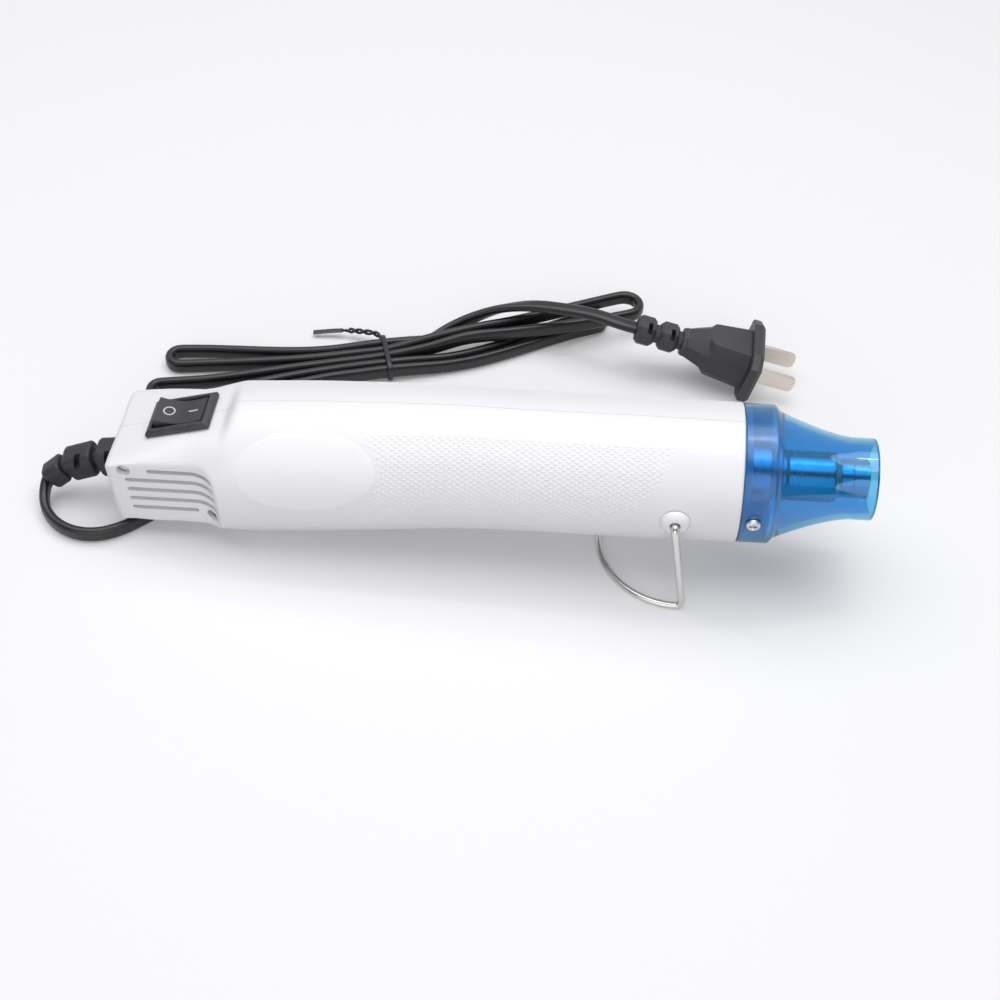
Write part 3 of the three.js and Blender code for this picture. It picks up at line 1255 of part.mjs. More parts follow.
tool.add(...housingHalves(), ...housingScrews(), nozzleGuard(), ...guardScrews());
tool.add(heatBarrel(), barrelRing(), micaSleeve(), heaterCore(), heaterCoil(), thermalFuse(), airFunnel());
tool.add(motorCan(), motorEndCap(), motorShaft(), fanImpeller(), motorMount(), ...rectifier());
tool.add(...standBushes(), strainRelief(), ...wiring());

const switchPanel = new THREE.Group();
switchPanel.position.set(SWITCH_S, 0, SWITCH_Z);
switchPanel.rotation.y = -PANEL_SLOPE;
switchPanel.add(switchFrame(), switchRocker(), ...switchTerminals());
tool.add(switchPanel);

const stand = wireStand();
stand.position.set(SEAM_X + PIVOT_S * Math.cos(TILT), 0, PIVOT_HEIGHT);

const hankPoints = hankPath();
const plug = new THREE.Group();
plug.position.set(PLUG_X, PLUG_Y, PLUG_Z);
plug.rotation.set(0, PLUG_PITCH, PLUG_TURN, 'ZYX');
const { piece: plugPiece, face: plugFace } = plugBody();
plug.add(plugPiece, ...plugBlades(plugFace));

part.add(tool, stand, cordTail(hankPoints), cordHank(hankPoints), cordLead(hankPoints), twistTie(), plug);

export default part;
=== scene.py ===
import math
import bmesh
import bpy
import numpy as np
from mathutils import Matrix, Vector


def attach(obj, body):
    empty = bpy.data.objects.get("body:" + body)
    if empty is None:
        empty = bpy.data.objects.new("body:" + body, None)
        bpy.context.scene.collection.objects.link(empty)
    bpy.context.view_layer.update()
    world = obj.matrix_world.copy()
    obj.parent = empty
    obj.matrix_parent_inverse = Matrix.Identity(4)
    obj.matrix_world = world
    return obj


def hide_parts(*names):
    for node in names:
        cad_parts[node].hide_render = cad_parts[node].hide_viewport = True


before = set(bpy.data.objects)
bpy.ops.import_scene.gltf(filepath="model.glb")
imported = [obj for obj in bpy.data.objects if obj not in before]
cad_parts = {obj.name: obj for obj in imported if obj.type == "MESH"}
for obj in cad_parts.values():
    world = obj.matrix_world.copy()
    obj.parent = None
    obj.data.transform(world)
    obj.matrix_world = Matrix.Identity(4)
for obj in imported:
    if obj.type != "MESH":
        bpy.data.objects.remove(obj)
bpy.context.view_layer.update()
scene = bpy.context.scene

# Camera: it stands in front of the tool and looks down on it at 47 degrees. It is rolled a little, so the
# tool runs slightly downhill to the right, as in the photograph.
camera_yaw = math.radians(-2.63)
camera_pitch = math.radians(47.46)
camera_roll = math.radians(3.57)
camera_place = (0.01833, -0.31511, 0.35768)
ahead = Vector((
    math.sin(camera_yaw) * math.cos(camera_pitch),
    math.cos(camera_yaw) * math.cos(camera_pitch),
    -math.sin(camera_pitch),
))
level = Vector((math.cos(camera_yaw), -math.sin(camera_yaw), 0))
upright = level.cross(ahead)
across = level * math.cos(camera_roll) + upright * math.sin(camera_roll)
upward = upright * math.cos(camera_roll) - level * math.sin(camera_roll)
lens = bpy.data.cameras.new("camera")
lens.sensor_width = 36
lens.lens = 52.72
camera = bpy.data.objects.new("camera", lens)
camera_turn = Matrix((across, upward, -ahead)).transposed().to_4x4()
camera.matrix_world = Matrix.Translation(camera_place) @ camera_turn
scene.collection.objects.link(camera)
scene.camera = camera

# Mains cord: flat twin flex, two stranded cores in one extruded PVC sheath, 5.2 by 3.2 mm. It comes out of
# the strain relief, passes under the tail, is folded to and fro in five runs behind the tool and ends in
# the plug.
IN_MILLIMETRES = Matrix.Scale(0.001, 4)
TILT = math.radians(3.3)
SEAM_X = 76.0804
SEAM_HEIGHT = 36.8039
ON_TOOL = IN_MILLIMETRES @ Matrix.Translation((SEAM_X, 0, SEAM_HEIGHT)) @ Matrix.Rotation(-TILT, 4, "Y")
CORD_WIDTH = 5.2
CORD_THICKNESS = 3.2
CORD_Z = 2.8
RELIEF_ROOT = np.array([-193.8, 0, -8.2])
RELIEF_KNEE = np.array([-211.23, 0, -9.3])
RELIEF_END = np.array([-218.7, -3.4, -16.2])
TAIL_POINTS = [
    [-142.7, -5.4, 6.1], [-142.5, -8.8, 4.4], [-140.9, -13, 3.2], [-137.3, -17.2, CORD_Z],
    [-132.5, -20.2, CORD_Z], [-127, -21.5, CORD_Z], [-121, -20.7, CORD_Z], [-115.2, -17.6, CORD_Z],
    [-109.4, -12.4, CORD_Z], [-103.4, -5.6, CORD_Z], [-98.8, 2.4, CORD_Z], [-96, 11.4, CORD_Z],
    [-94.2, 20.6, CORD_Z], [-92, 30, CORD_Z], [-88, 38.4, CORD_Z], [-81.6, 45.2, CORD_Z],
]
LEAD_POINTS = [
    [-22.4, 89.1, 5.9], [-14, 92.3, 9.6], [-5, 93.9, 13.3], [5.5, 93.6, 16.3],
    [17, 91.2, 18.4], [29.5, 88, 19.7],
]
HANK_MIDDLE = (-43.5, 73.6)
HANK_TURN = math.radians(17)
HANK_BOW = 600
HANK_RUNS = 5
WAIST_STEP = 3.5
WAIST_ASIDE = -1
FOLDS = [(80, 2.6, 3.1), (-78.6, -9.8, 3.6), (91, 0.9, 5.2), (-73, 6.9, 3.9)]
RAISED_RUNS = (2, 3)
RUN_LIFT = 5.9
WAIST_LIFT = 1.1
HANK_ENTRY = -31
ENTRY_AIM = (-74.4, -19.8)
HANK_EXIT = 13
EXIT_AIM = (78, 10)
PLUG_TURN = math.radians(-3.5)
PLUG_PITCH = math.radians(11)
PLUG_LIE = Matrix.Rotation(PLUG_TURN, 4, "Z") @ Matrix.Rotation(PLUG_PITCH, 4, "Y")
PLUG_RIM = 43.38
FLANGE_HEIGHT = 20.5
PLUG_RISE = PLUG_RIM * math.sin(PLUG_PITCH) + FLANGE_HEIGHT / 2 * math.cos(PLUG_PITCH)
PLUG_BACK = np.array([44.4, 84.4, 0.2 + PLUG_RISE])


def srgb(code):
    """A linear colour from its sRGB hex value."""
    channels = [int(code[i:i + 2], 16) / 255 for i in (1, 3, 5)]
    return [*(c / 12.92 if c <= 0.04045 else ((c + 0.055) / 1.055) ** 2.4 for c in channels), 1.0]


def feed(tree, node, inputs):
    """Sets a node's inputs, each to a value, to a socket or to another node's first output in use."""
    for name, value in inputs.items():
        if isinstance(name, int):
            socket = node.inputs[name]
        else:
            socket = next(s for s in node.inputs if s.name == name and s.enabled)
        if isinstance(value, bpy.types.Node):
            value = next(s for s in value.outputs if s.enabled)
        if isinstance(value, bpy.types.NodeSocket):
            tree.links.new(value, socket)
        else:
            socket.default_value = value


def add_node(tree, kind, inputs=None, **settings):
    """Adds a node with its settings and what feeds it."""
    node = tree.nodes.new("ShaderNode" + kind)
    for name, value in settings.items():
        setattr(node, name, value)
    feed(tree, node, inputs or {})
    return node


def start_material(name, **values):
    """A material with its node tree and shader, and the shader values that are the same all over."""
    material = bpy.data.materials.new(name)
    material.use_nodes = True
    shader = material.node_tree.nodes["Principled BSDF"]
    for socket, value in values.items():
        shader.inputs[socket.replace("_", " ")].default_value = value
    return material, material.node_tree, shader


def mottled(name, patch, tones, gloss, relief=None, grain=None, lie=None, **values):
    """A material whose colour and gloss drift together in soft patches. The patches, and a grain where there
    is one, are a size in millimetres and a level of detail. Relief is a bump's strength and its height in
    millimetres, and lie turns and stretches the patches."""
    material, tree, shader = start_material(name, **values)
    place = add_node(tree, "TexCoord").outputs["Object"]
    if lie:
        place = add_node(tree, "Mapping", {"Vector": place, **lie})
    drift = add_node(tree, "TexNoise", {"Vector": place, "Scale": 1000 / patch[0], "Detail": patch[1]})
    dark, light = [srgb(code) for code in tones]
    tone = add_node(tree, "Mix", {"Factor": drift, "A": dark, "B": light}, data_type="RGBA")
    sheen = add_node(tree, "MapRange", {"Value": drift, "To Min": gloss[0], "To Max": gloss[1]})
    feed(tree, shader, {"Base Color": tone, "Roughness": sheen})
    if relief:
        height = drift
        if grain:
            fine = {"Vector": place, "Scale": 1000 / grain[0], "Detail": grain[1]}
            height = add_node(tree, "TexNoise", fine)
        bump = add_node(tree, "Bump", {"Height": height, "Strength": relief[0], "Distance": relief[1] / 1000})
        feed(tree, shader, {"Normal": bump})
    return material


def ease(x, start, end):
    """A soft step from 0 at the start to 1 at the end."""
    t = np.clip((np.asarray(x, float) - start) / (end - start), 0, 1)
    return t * t * (3 - 2 * t)


def skin(rings, ends=True):
    """Points and faces of a skin over rings of equal count, with a flat face on both ends."""
    rings = np.asarray(rings, float)
    count, sides = rings.shape[:2]
    faces = []
    for i in range(count - 1):
        for j in range(sides):
            k = (j + 1) % sides
            faces.append((i * sides + j, i * sides + k, (i + 1) * sides + k, (i + 1) * sides + j))
    if ends:
        faces.append(tuple(range(sides)))
        faces.append(tuple(range((count - 1) * sides, count * sides)))
    return rings.reshape(-1, 3), faces


def sharpen(piece, crease, facets=(0, 0)):
    """Smooth faces, with sharp edges at more than the crease angle. Between two places along the tool, edges
    are sharp at more than 9 degrees."""
    body = bmesh.new()
    body.from_mesh(piece.data)
    for face in body.faces:
        face.smooth = True
    to_tool = ON_TOOL.inverted()
    for edge in body.edges:
        along = (to_tool @ edge.verts[0].co).x
        limit = 9 if facets[0] < along < facets[1] else crease
        edge.smooth = len(edge.link_faces) == 2 and edge.calc_face_angle(0) < math.radians(limit)
    body.to_mesh(piece.data)
    body.free()


def add_piece(name, points, faces, material, place=IN_MILLIMETRES, crease=32):
    """A new object, its doubled points merged and its faces turned outwards."""
    data = bpy.data.meshes.new(name)
    data.from_pydata([tuple(p) for p in points], [], faces)
    data.transform(place)
    data.materials.append(material)
    body = bmesh.new()
    body.from_mesh(data)
    bmesh.ops.remove_doubles(body, verts=body.verts, dist=1e-7)
    bmesh.ops.recalc_face_normals(body, faces=body.faces)
    body.to_mesh(data)
    body.free()
    piece = bpy.data.objects.new(name, data)
    scene.collection.objects.link(piece)
    sharpen(piece, crease)
    return piece


def unit(vectors):
    """Vectors brought to a length of 1."""
    vectors = np.asarray(vectors, float)
    return vectors / np.linalg.norm(vectors, axis=-1, keepdims=True)


def headings(route):
    """Which way a route runs at each of its points."""
    return unit(np.gradient(route, axis=0))


def distances(route):
    """How far along a route each of its points is."""
    return np.concatenate([[0], np.cumsum(np.linalg.norm(np.diff(route, axis=0), axis=1))])


def smooth_route(points, step):
    """A smooth curve through the points, sampled about every step."""
    p = np.asarray(points, float)
    p = np.vstack([2 * p[0] - p[1], p, 2 * p[-1] - p[-2]])
    route = []
    for a, b, c, d in zip(p, p[1:], p[2:], p[3:]):
        k1 = np.sqrt(np.linalg.norm(b - a))
        k2 = k1 + np.sqrt(np.linalg.norm(c - b))
        k3 = k2 + np.sqrt(np.linalg.norm(d - c))
        count = max(1, int(np.linalg.norm(c - b) / step))
        for t in k1 + (k2 - k1) * np.arange(count) / count:
            ab = a + (b - a) * t / k1
            bc = b + (c - b) * (t - k1) / (k2 - k1)
            cd = c + (d - c) * (t - k2) / (k3 - k2)
            abc = ab + (bc - ab) * t / k2
            bcd = bc + (cd - bc) * (t - k1) / (k3 - k1)
            route.append(abc + (bcd - abc) * (t - k1) / (k2 - k1))
    return np.array([*route, p[-2]])


def sweep(route, tangents, sections, twist):
    """Rings of sections along a route. A section's second axis stays upright, turned by the twist."""
    rings = []
    for centre, tangent, section, turn in zip(route, tangents, sections, twist):
        up = unit(np.array([0, 0, 1]) - tangent * tangent[2])
        side = np.cross(up, tangent)
        first = side * math.cos(turn) + up * math.sin(turn)
        second = up * math.cos(turn) - side * math.sin(turn)
        rings.append([centre + first * x + second * y for x, y in section])
    return rings


def rounded_section(half_x, half_y, count, power):
    """Points round an oval that gets squarer as the power rises from 2."""
    angles = 2 * np.pi * (np.arange(count) + 0.5) / count
    c, s = np.cos(angles), np.sin(angles)
    reach = (np.abs(c) ** power + np.abs(s) ** power) ** (-1 / power)
    return np.column_stack([half_x * c * reach, half_y * s * reach])


def hank_point(along, aside, raised=False):
    """A point of the folded cord: how far along from the waist, and how far to the side."""
    angle = along / HANK_BOW
    x = (HANK_BOW - aside) * math.sin(angle)
    y = HANK_BOW - (HANK_BOW - aside) * math.cos(angle)
    lift = WAIST_LIFT * math.exp(-((along / 16) ** 2))
    if raised:
        lift += RUN_LIFT * float(ease(along, 6, 24))
    c, s = math.cos(HANK_TURN), math.sin(HANK_TURN)
    return np.array([HANK_MIDDLE[0] + x * c - y * s, HANK_MIDDLE[1] + x * s + y * c, CORD_Z + lift])


def hank_route():
    """The folded cord, run by run, with a round fold between one run and the next. The first run comes in at
    the entry and the last goes out at the exit, each in line with its aim."""
    route = []
    for run in range(HANK_RUNS):
        sign = 1 if run % 2 == 0 else -1
        raised = run in RAISED_RUNS
        waist = WAIST_ASIDE + (run - (HANK_RUNS - 1) / 2) * WAIST_STEP
        before = FOLDS[run - 1] if run else None
        after = FOLDS[run] if run < len(FOLDS) else None
        start = (before[0], before[1] + before[2]) if before else ENTRY_AIM
        finish = (after[0], after[1] - after[2]) if after else EXIT_AIM
        first = start[0] if before else HANK_ENTRY
        last = finish[0] if after else HANK_EXIT
        for along in np.linspace(first, last, 12):
            end, fold = start if along * sign < 0 else finish
            pull = float(ease(abs(along / end), 0.24, 1))
            route.append(hank_point(along, waist + (fold - waist) * pull, raised))
        if after:
            reach, aside, radius = after
            for angle in np.pi * np.arange(1, 10) / 10:
                out = reach + sign * radius * math.sin(angle)
                route.append(hank_point(out, aside - radius * math.cos(angle), raised))
    return route


def on_tool(point):
    """A point given along the tool, in the object's own millimetres."""
    return np.array(ON_TOOL @ Vector(point)) * 1000


hank = hank_route()
relief_end = on_tool(RELIEF_END)
leaving = unit(relief_end - on_tool(RELIEF_END * 0.96 + RELIEF_KNEE * 0.04))
plug_axis = np.array(PLUG_LIE @ Vector((1, 0, 0)))
into_hank = unit(hank[1] - hank[0])
out_of_hank = unit(hank[-1] - hank[-2])
tail = [relief_end - leaving, relief_end + 1.5 * leaving, *TAIL_POINTS, hank[0] - 4 * into_hank]
lead = [hank[-1] + 3.3 * out_of_hank, *LEAD_POINTS, PLUG_BACK - 5.5 * plug_axis, PLUG_BACK + 2 * plug_axis]
cord_route = smooth_route([*tail, *hank, *lead], 1.1)
travelled = distances(cord_route)
from_plug = travelled[-1] - travelled
lying_flat = np.pi / 2 * ease(-from_plug, -74, -34)
flex_section = rounded_section(CORD_THICKNESS / 2, CORD_WIDTH / 2, 26, 2.6)
flex_section[:, 0] *= 1 - 0.07 * np.exp(-((flex_section[:, 1] / 0.45) ** 2))

# Black flexible PVC, extruded: satin, with a faint unevenness of about 0.4 mm and a dusty bloom.
sheath_pvc = mottled(
    "flexible PVC, extruded", (5.556, 4), ("#101013", "#222126"), (0.24, 0.42),
    relief=(0.12, 0.2), grain=(0.4, 2), IOR=1.53,
)

cord_rings = sweep(cord_route, headings(cord_route), [flex_section] * len(cord_route), lying_flat)
cord = add_piece("mains_cord", *skin(cord_rings), sheath_pvc, crease=60)
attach(cord, "body")
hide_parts("cord_tail", "cord_hank", "cord_lead")

# Wire tie: a plastic-coated iron wire strip, wound once round the waist of the hank, its ends twisted
# together on the far side and left as a flat tail.
TIE_HALF_WIDTH = 0.85
TIE_HALF_THICKNESS = 0.35
TIE_LOW = 0.2
TIE_HIGH = 7.9
TIE_TWISTS = 4.2
BUNDLE = 2 * WAIST_STEP + CORD_THICKNESS / 2 + 0.3
TIE_TAIL = [
    hank_point(0, WAIST_ASIDE + BUNDLE - 0.3) + np.array([0, 0, 0.6]), [-48.4, 84.3, 4.3], [-54, 85.6, 3.8],
    [-61, 86.2, 3.0], [-72, 85, 1.8],
]


def joined(shapes):
    """Points and faces of several shapes as one."""
    points, faces = [], []
    for shape_points, shape_faces in shapes:
        start = len(points)
        points.extend(shape_points)
        faces.extend(tuple(start + i for i in face) for face in shape_faces)
    return points, faces


waist = hank_point(0, WAIST_ASIDE)
band_middle = np.array([waist[0], waist[1], (TIE_LOW + TIE_HIGH) / 2])
hank_side = np.array([-math.sin(HANK_TURN), math.cos(HANK_TURN), 0])
hank_ahead = np.array([math.cos(HANK_TURN), math.sin(HANK_TURN), 0])
strip = rounded_section(TIE_HALF_WIDTH, TIE_HALF_THICKNESS, 12, 3)
band_rings = []
for x, z in rounded_section(BUNDLE + 0.45, (TIE_HIGH - TIE_LOW) / 2 - TIE_HALF_THICKNESS, 60, 5):
    slope = unit([x / BUNDLE ** 2, z / 3 ** 2])
    outward = hank_side * slope[0] + np.array([0, 0, slope[1]])
    centre = band_middle + hank_side * x + np.array([0, 0, z])
    band_rings.append([centre + hank_ahead * a + outward * b for a, b in strip])
band = skin([*band_rings, band_rings[0]], ends=False)

tie_route = smooth_route(TIE_TAIL, 0.5)
tie_run = np.linspace(0, 1, len(tie_route))
spread = 0.62 * (1 - ease(tie_run, 0.5, 0.6))
flatten = ease(tie_run, 0.5, 0.62)
strand_sections = [rounded_section(0.62 + 0.45 * f, 0.5 - 0.12 * f, 10, 2 + 2 * f) for f in flatten]
strands = []
for phase, share in [(0, 1), (np.pi, 0.6)]:
    turns = phase + 2 * np.pi * TIE_TWISTS * np.minimum(tie_run, 0.56)
    centres = tie_route + np.column_stack([0 * turns, spread * np.cos(turns), spread * np.sin(turns)])
    rings = sweep(centres, headings(tie_route), strand_sections, (1 - flatten) * turns)
    strands.append(skin(rings[:int(len(rings) * share)]))

# Black PVC coating over wire: glossier than the flex, with the ripple of the twisted strip.
tie_pvc = mottled(
    "PVC coating over iron wire", (1.111, 3), ("#18181b", "#2d2d32"), (0.25, 0.45),
    relief=(0.25, 0.2), IOR=1.53,
)

tie = add_piece("wire_tie", *joined([band, *strands]), tie_pvc, crease=50)
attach(tie, "body")
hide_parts("twist_tie")

# Strain relief: a moulded rubber boot of three blocks with deep gaps between them, so that it bends in a
# curve under the cord's pull. A flange inside the rear wall holds it.
RELIEF_BLOCKS = [(0.002, 0.28, 5.3), (0.345, 0.69, 4.95), (0.755, 1.0, 4.15)]
RELIEF_FLANGE = [(-188.9, 5.6), (-189.2, 6), (-190.9, 6), (-191.2, 5.6), (-191.2, 4.2), (-193.8, 4.2)]
RELIEF_CORE = 2.9
RELIEF_SIDES = 44
RELIEF_WINDOWS = [
    ((-198.4, -6, -8.6), (-196, -2.6, -2.6)), ((-208.6, -6, -9.4), (-206.6, -2.6, -4.4)),
    ((-203.4, -6, -7.2), (-202.2, -3.6, -5.6)),
]


def bent_line(a, b, c, count):
    """Points on a curve from a to c that bends round the corner b."""
    t = np.linspace(0, 1, count)[:, None]
    return (1 - t) ** 2 * a + 2 * t * (1 - t) * b + t ** 2 * c


relief_line = bent_line(RELIEF_ROOT, RELIEF_KNEE, RELIEF_END, 400)
relief_run = distances(relief_line)
relief_length = relief_run[-1]


def on_relief(at):
    """A point at a distance along the boot's curve."""
    return np.array([np.interp(at, relief_run, axis) for axis in relief_line.T])


def relief_ring(at, radius, power):
    """A square-shouldered ring of the boot, at a distance along its curve."""
    tangent = unit(on_relief(at + 0.2) - on_relief(at - 0.2))
    up = unit(np.cross([0, 1, 0], tangent))
    side = np.cross(tangent, up)
    section = rounded_section(radius, radius, RELIEF_SIDES, power)
    return [on_relief(at) + up * a + side * b for a, b in section]


relief_rings = []
for s, radius in RELIEF_FLANGE:
    flange = rounded_section(radius, radius, RELIEF_SIDES, 2)
    relief_rings.append([np.array([s, b, RELIEF_ROOT[2] + a]) for a, b in flange])
for i, (start, end, radius) in enumerate(RELIEF_BLOCKS):
    start, end = start * relief_length, end * relief_length
    trims = [(start, 1), (start + 0.25, 0.4), (start + 0.9, 0), (end - 0.9, 0), (end - 0.25, 0.4), (end, 1)]
    relief_rings += [relief_ring(at, radius - trim, 3.6) for at, trim in trims]
    if i < len(RELIEF_BLOCKS) - 1:
        gap_end = RELIEF_BLOCKS[i + 1][0] * relief_length
        gap = (end + 0.02, (end + gap_end) / 2, gap_end - 0.02)
        relief_rings += [relief_ring(at, RELIEF_CORE, 2.4) for at in gap]

# Black moulded rubber: matt, with an eroded texture of about 0.3 mm from the mould.
boot_rubber = mottled(
    "moulded rubber, eroded finish", (3.846, 4), ("#1b1a1d", "#333237"), (0.42, 0.62),
    relief=(0.35, 0.2), grain=(0.3125, 3), IOR=1.5,
)


def block(low, high):
    """A block with small chamfers, from its low corner to its high corner."""
    (x0, y0, z0), (x1, y1, z1) = low, high
    c = 0.25
    rings = []
    for x, trim in [(x0, c), (x0 + c, 0), (x1 - c, 0), (x1, c)]:
        y = (y0 + trim, y1 - trim)
        z = (z0 + trim, z1 - trim)
        rings.append([(x, y[0] + c, z[0]), (x, y[1] - c, z[0]), (x, y[1], z[0] + c), (x, y[1], z[1] - c),
                      (x, y[1] - c, z[1]), (x, y[0] + c, z[1]), (x, y[0], z[1] - c), (x, y[0], z[0] + c)])
    return skin(rings)


def cut(piece, cutters, place):
    """Cuts shapes out of a piece, keeps the result in its mesh and deletes the cutters."""
    tool = add_piece("cutter", *joined(cutters), piece.data.materials[0], place)
    boolean = piece.modifiers.new("cut", "BOOLEAN")
    boolean.object = tool
    boolean.operation = "DIFFERENCE"
    boolean.solver = "EXACT"
    bpy.context.view_layer.update()
    finished = piece.evaluated_get(bpy.context.evaluated_depsgraph_get())
    result = bpy.data.meshes.new_from_object(finished)
    piece.modifiers.clear()
    piece.data = result
    bpy.data.objects.remove(tool)


relief = add_piece("strain_relief_boot", *skin(relief_rings), boot_rubber, ON_TOOL)
cut(relief, [block(low, high) for low, high in RELIEF_WINDOWS], ON_TOOL)
sharpen(relief, 32)
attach(relief, "body")
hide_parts("strain_relief")

# Plug: a two-blade mains plug moulded on to the cord, with a faceted grip, a lozenge flange at the front
# and two square collars that make its boot.
ON_PLUG = IN_MILLIMETRES @ Matrix.Translation(PLUG_BACK) @ PLUG_LIE
BOOT_RIB = 6.8
BOOT_GAP = 1.6
PLUG_NECK = 2 * (BOOT_RIB + BOOT_GAP)
PLUG_SHOULDER = PLUG_NECK + 23.5
PLUG_FACE = PLUG_SHOULDER + 4.4


def plug_ring(x, width, height, flank, ridge):
    """A twelve-sided section of the plug: upright flanks, sloping facets, a flat top between two ridges."""
    w, h = width / 2, height / 2
    corner = [(w, h * flank), (w * (0.5 + ridge / 2), h * (0.5 + flank / 2)), (w * ridge, h)]
    upper = corner + [(-y, z) for y, z in reversed(corner)]
    return [(x, y, z) for y, z in upper + [(y, -z) for y, z in reversed(upper)]]


plug_rings = []
for i in range(2):
    start = i * (BOOT_RIB + BOOT_GAP)
    end = start + BOOT_RIB
    for x, scale in [(start, 0.78), (start + 1.3, 1), (end - 1.3, 1), (end, 0.78)]:
        plug_rings.append(plug_ring(x, 10.4 * scale, 8.4 * scale, 0.45, 0.6))
    for x in (end + 0.05, end + BOOT_GAP - 0.05):
        plug_rings.append(plug_ring(x, 7, 5.4, 0.5, 0.5))
PLUG_STEPS = [
    (PLUG_NECK, 9.4, 7.8, 0.5, 0.5), (PLUG_NECK + 1.2, 10.6, 9, 0.5, 0.5),
    (PLUG_NECK + 1.4, 10.2, 8.8, 0.5, 0.5), (PLUG_NECK + 2.2, 10.4, 9.4, 0.5, 0.45),
    (PLUG_NECK + 8.8, 16.6, 14.2, 0.4, 0.34), (PLUG_NECK + 10.4, 17.6, 14.8, 0.42, 0.62),
    (PLUG_SHOULDER - 0.6, 20.8, 15.9, 0.5, 0.66), (PLUG_SHOULDER + 0.1, 21, 16, 0.5, 0.66),
    (PLUG_SHOULDER + 0.15, 26.6, 19.6, 0.74, 0.6), (PLUG_SHOULDER + 0.7, 27.5, FLANGE_HEIGHT, 0.74, 0.6),
    (PLUG_RIM, 27.5, FLANGE_HEIGHT, 0.74, 0.6), (PLUG_FACE, 25.6, 18.5, 0.74, 0.6),
]
plug_rings += [plug_ring(*step) for step in PLUG_STEPS]


def tinted(material, bend, share, colour):
    """Lays another colour over a material's edges or hollows. Bend is a range of pointiness, 0.5 being flat,
    and share is how much of the colour shows at the range's two ends."""
    tree = material.node_tree
    shader = tree.nodes["Principled BSDF"]
    base = shader.inputs["Base Color"].links[0].from_socket
    amount = add_node(tree, "MapRange", {
        "Value": add_node(tree, "NewGeometry").outputs["Pointiness"],
        "From Min": bend[0], "From Max": bend[1], "To Min": share[0], "To Max": share[1],
    })
    tone = add_node(tree, "Mix", {"Factor": amount, "A": base, "B": srgb(colour)}, data_type="RGBA")
    feed(tree, shader, {"Base Color": tone})


# Black rigid PVC, moulded: satin, with a spark texture of about 0.25 mm, and lighter along its sharp edges.
plug_pvc = mottled(
    "rigid PVC, moulded", (8.333, 5), ("#252429", "#37363c"), (0.36, 0.52),
    relief=(0.2, 0.2), grain=(0.25, 2), IOR=1.54,
)
tinted(plug_pvc, (0.52, 0.6), (0, 0.7), "#5a595f")


def bevel(piece, width, angle):
    """Rounds edges sharper than an angle by a width in millimetres, as a mould or a tumbler leaves them."""
    rounding = piece.modifiers.new("rounded edges", "BEVEL")
    rounding.width = width / 1000
    rounding.segments = 2
    rounding.limit_method = "ANGLE"
    rounding.angle_limit = math.radians(angle)
    rounding.harden_normals = True
    return piece


plug = add_piece("plug_moulding", *skin(plug_rings), plug_pvc, ON_PLUG, crease=20)
windows = []
for end in (BOOT_RIB, 2 * BOOT_RIB + BOOT_GAP):
    windows.append(block((end - 3.1, -4.6, 1.2), (end - 1.6, -0.2, 5)))
    windows.append(block((end - 3.1, 0.2, -5), (end - 1.6, 4.6, -1.2)))
cut(plug, windows, ON_PLUG)
sharpen(plug, 20)
bevel(plug, 0.3, 18)
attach(plug, "body")
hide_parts("plug_body")

# Plug blades: two strips of brass, folded double, stamped with clipped corners and plated with nickel.
# They stand side by side in the plug's face.
BLADE_HALF_WIDTH = 3.15
BLADE_LENGTH = 14
BLADE_ASIDE = 6.35
BLADE_LEAVES = [(-0.75, 1), (-0.03, 0.985), (0.03, 0.985), (0.75, 1)]

# Nickel plate over stamped brass: bright and warm, with fine scratches along the blade. They are shown about
# 0.3 mm apart, because finer ones would be lost.
nickel = mottled(
    "nickel plate over stamped brass", (0.3333, 3), ("#cfc3ba", "#e8e0d8"), (0.2, 0.42),
    relief=(0.15, 0.1), lie={"Rotation": (0, 0, -PLUG_TURN), "Scale": (0.02, 1, 1)}, Metallic=1,
)

tip = [(-1, -BLADE_HALF_WIDTH), (12.2, -BLADE_HALF_WIDTH), (13.2, -2.75), (13.85, -1.9), (BLADE_LENGTH, -0.8)]
outline = [*tip, *[(x, -z) for x, z in reversed(tip)]]
for name, node, side in [("blade_near", "plug_blade_near", -1), ("blade_far", "plug_blade_far", 1)]:
    leaves = []
    for y, trim in BLADE_LEAVES:
        leaves.append([(PLUG_FACE + 0.3 + x, side * BLADE_ASIDE + y, z * trim) for x, z in outline])
    blade = bevel(add_piece(name, *skin(leaves), nickel, ON_PLUG, crease=30), 0.18, 40)
    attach(blade, "body")
    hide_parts(node)

# Housing: two ABS halves, injection moulded and split on the middle plane. Round in front, with a diamond
# grip on both sides, and a tail with flat vented sides and a sloping panel for the switch.
REAR = -193.5
REAR_ROUND = 2.5
WALL = 2
INNER_REAR = REAR + WALL
FRONT_RADIUS = 21.4
GRIP_RADIUS = 21.75
BELLY_RADIUS = 23.6
SHOULDER = 24.2
SLANT_RISE = 12.3
UNDERSIDE = 19
TAIL_HALF_WIDTH = 17
SWEEP_START = -167
SWEEP_RADIUS = 10
RAMP_START = -157.5
TAIL_BLEND = (-165.5, -151.5)
SWITCH_S = -171.1
SWITCH_Z = 11
PANEL_SLOPE = math.radians(15.4)
ON_PANEL = ON_TOOL @ Matrix.Translation((SWITCH_S, 0, SWITCH_Z)) @ Matrix.Rotation(-PANEL_SLOPE, 4, "Y")
PIVOT_S = -19
BUSH_BORE = 2.7
COLUMNS = 87
PARTING = 0.05
GRIP_REAR = -114
GRIP_STATIONS = np.arange(GRIP_REAR + 0.25, -16, 1.25)
GRIP_RELIEF = 0.1
SPIGOT = [(0, 19.4), (0.3, 19.1), (2.4, 19.1), (2.6, 18.9), (2.6, 17.6), (2.4, 17.4), (-3, 17.4), (-3, 19.2)]
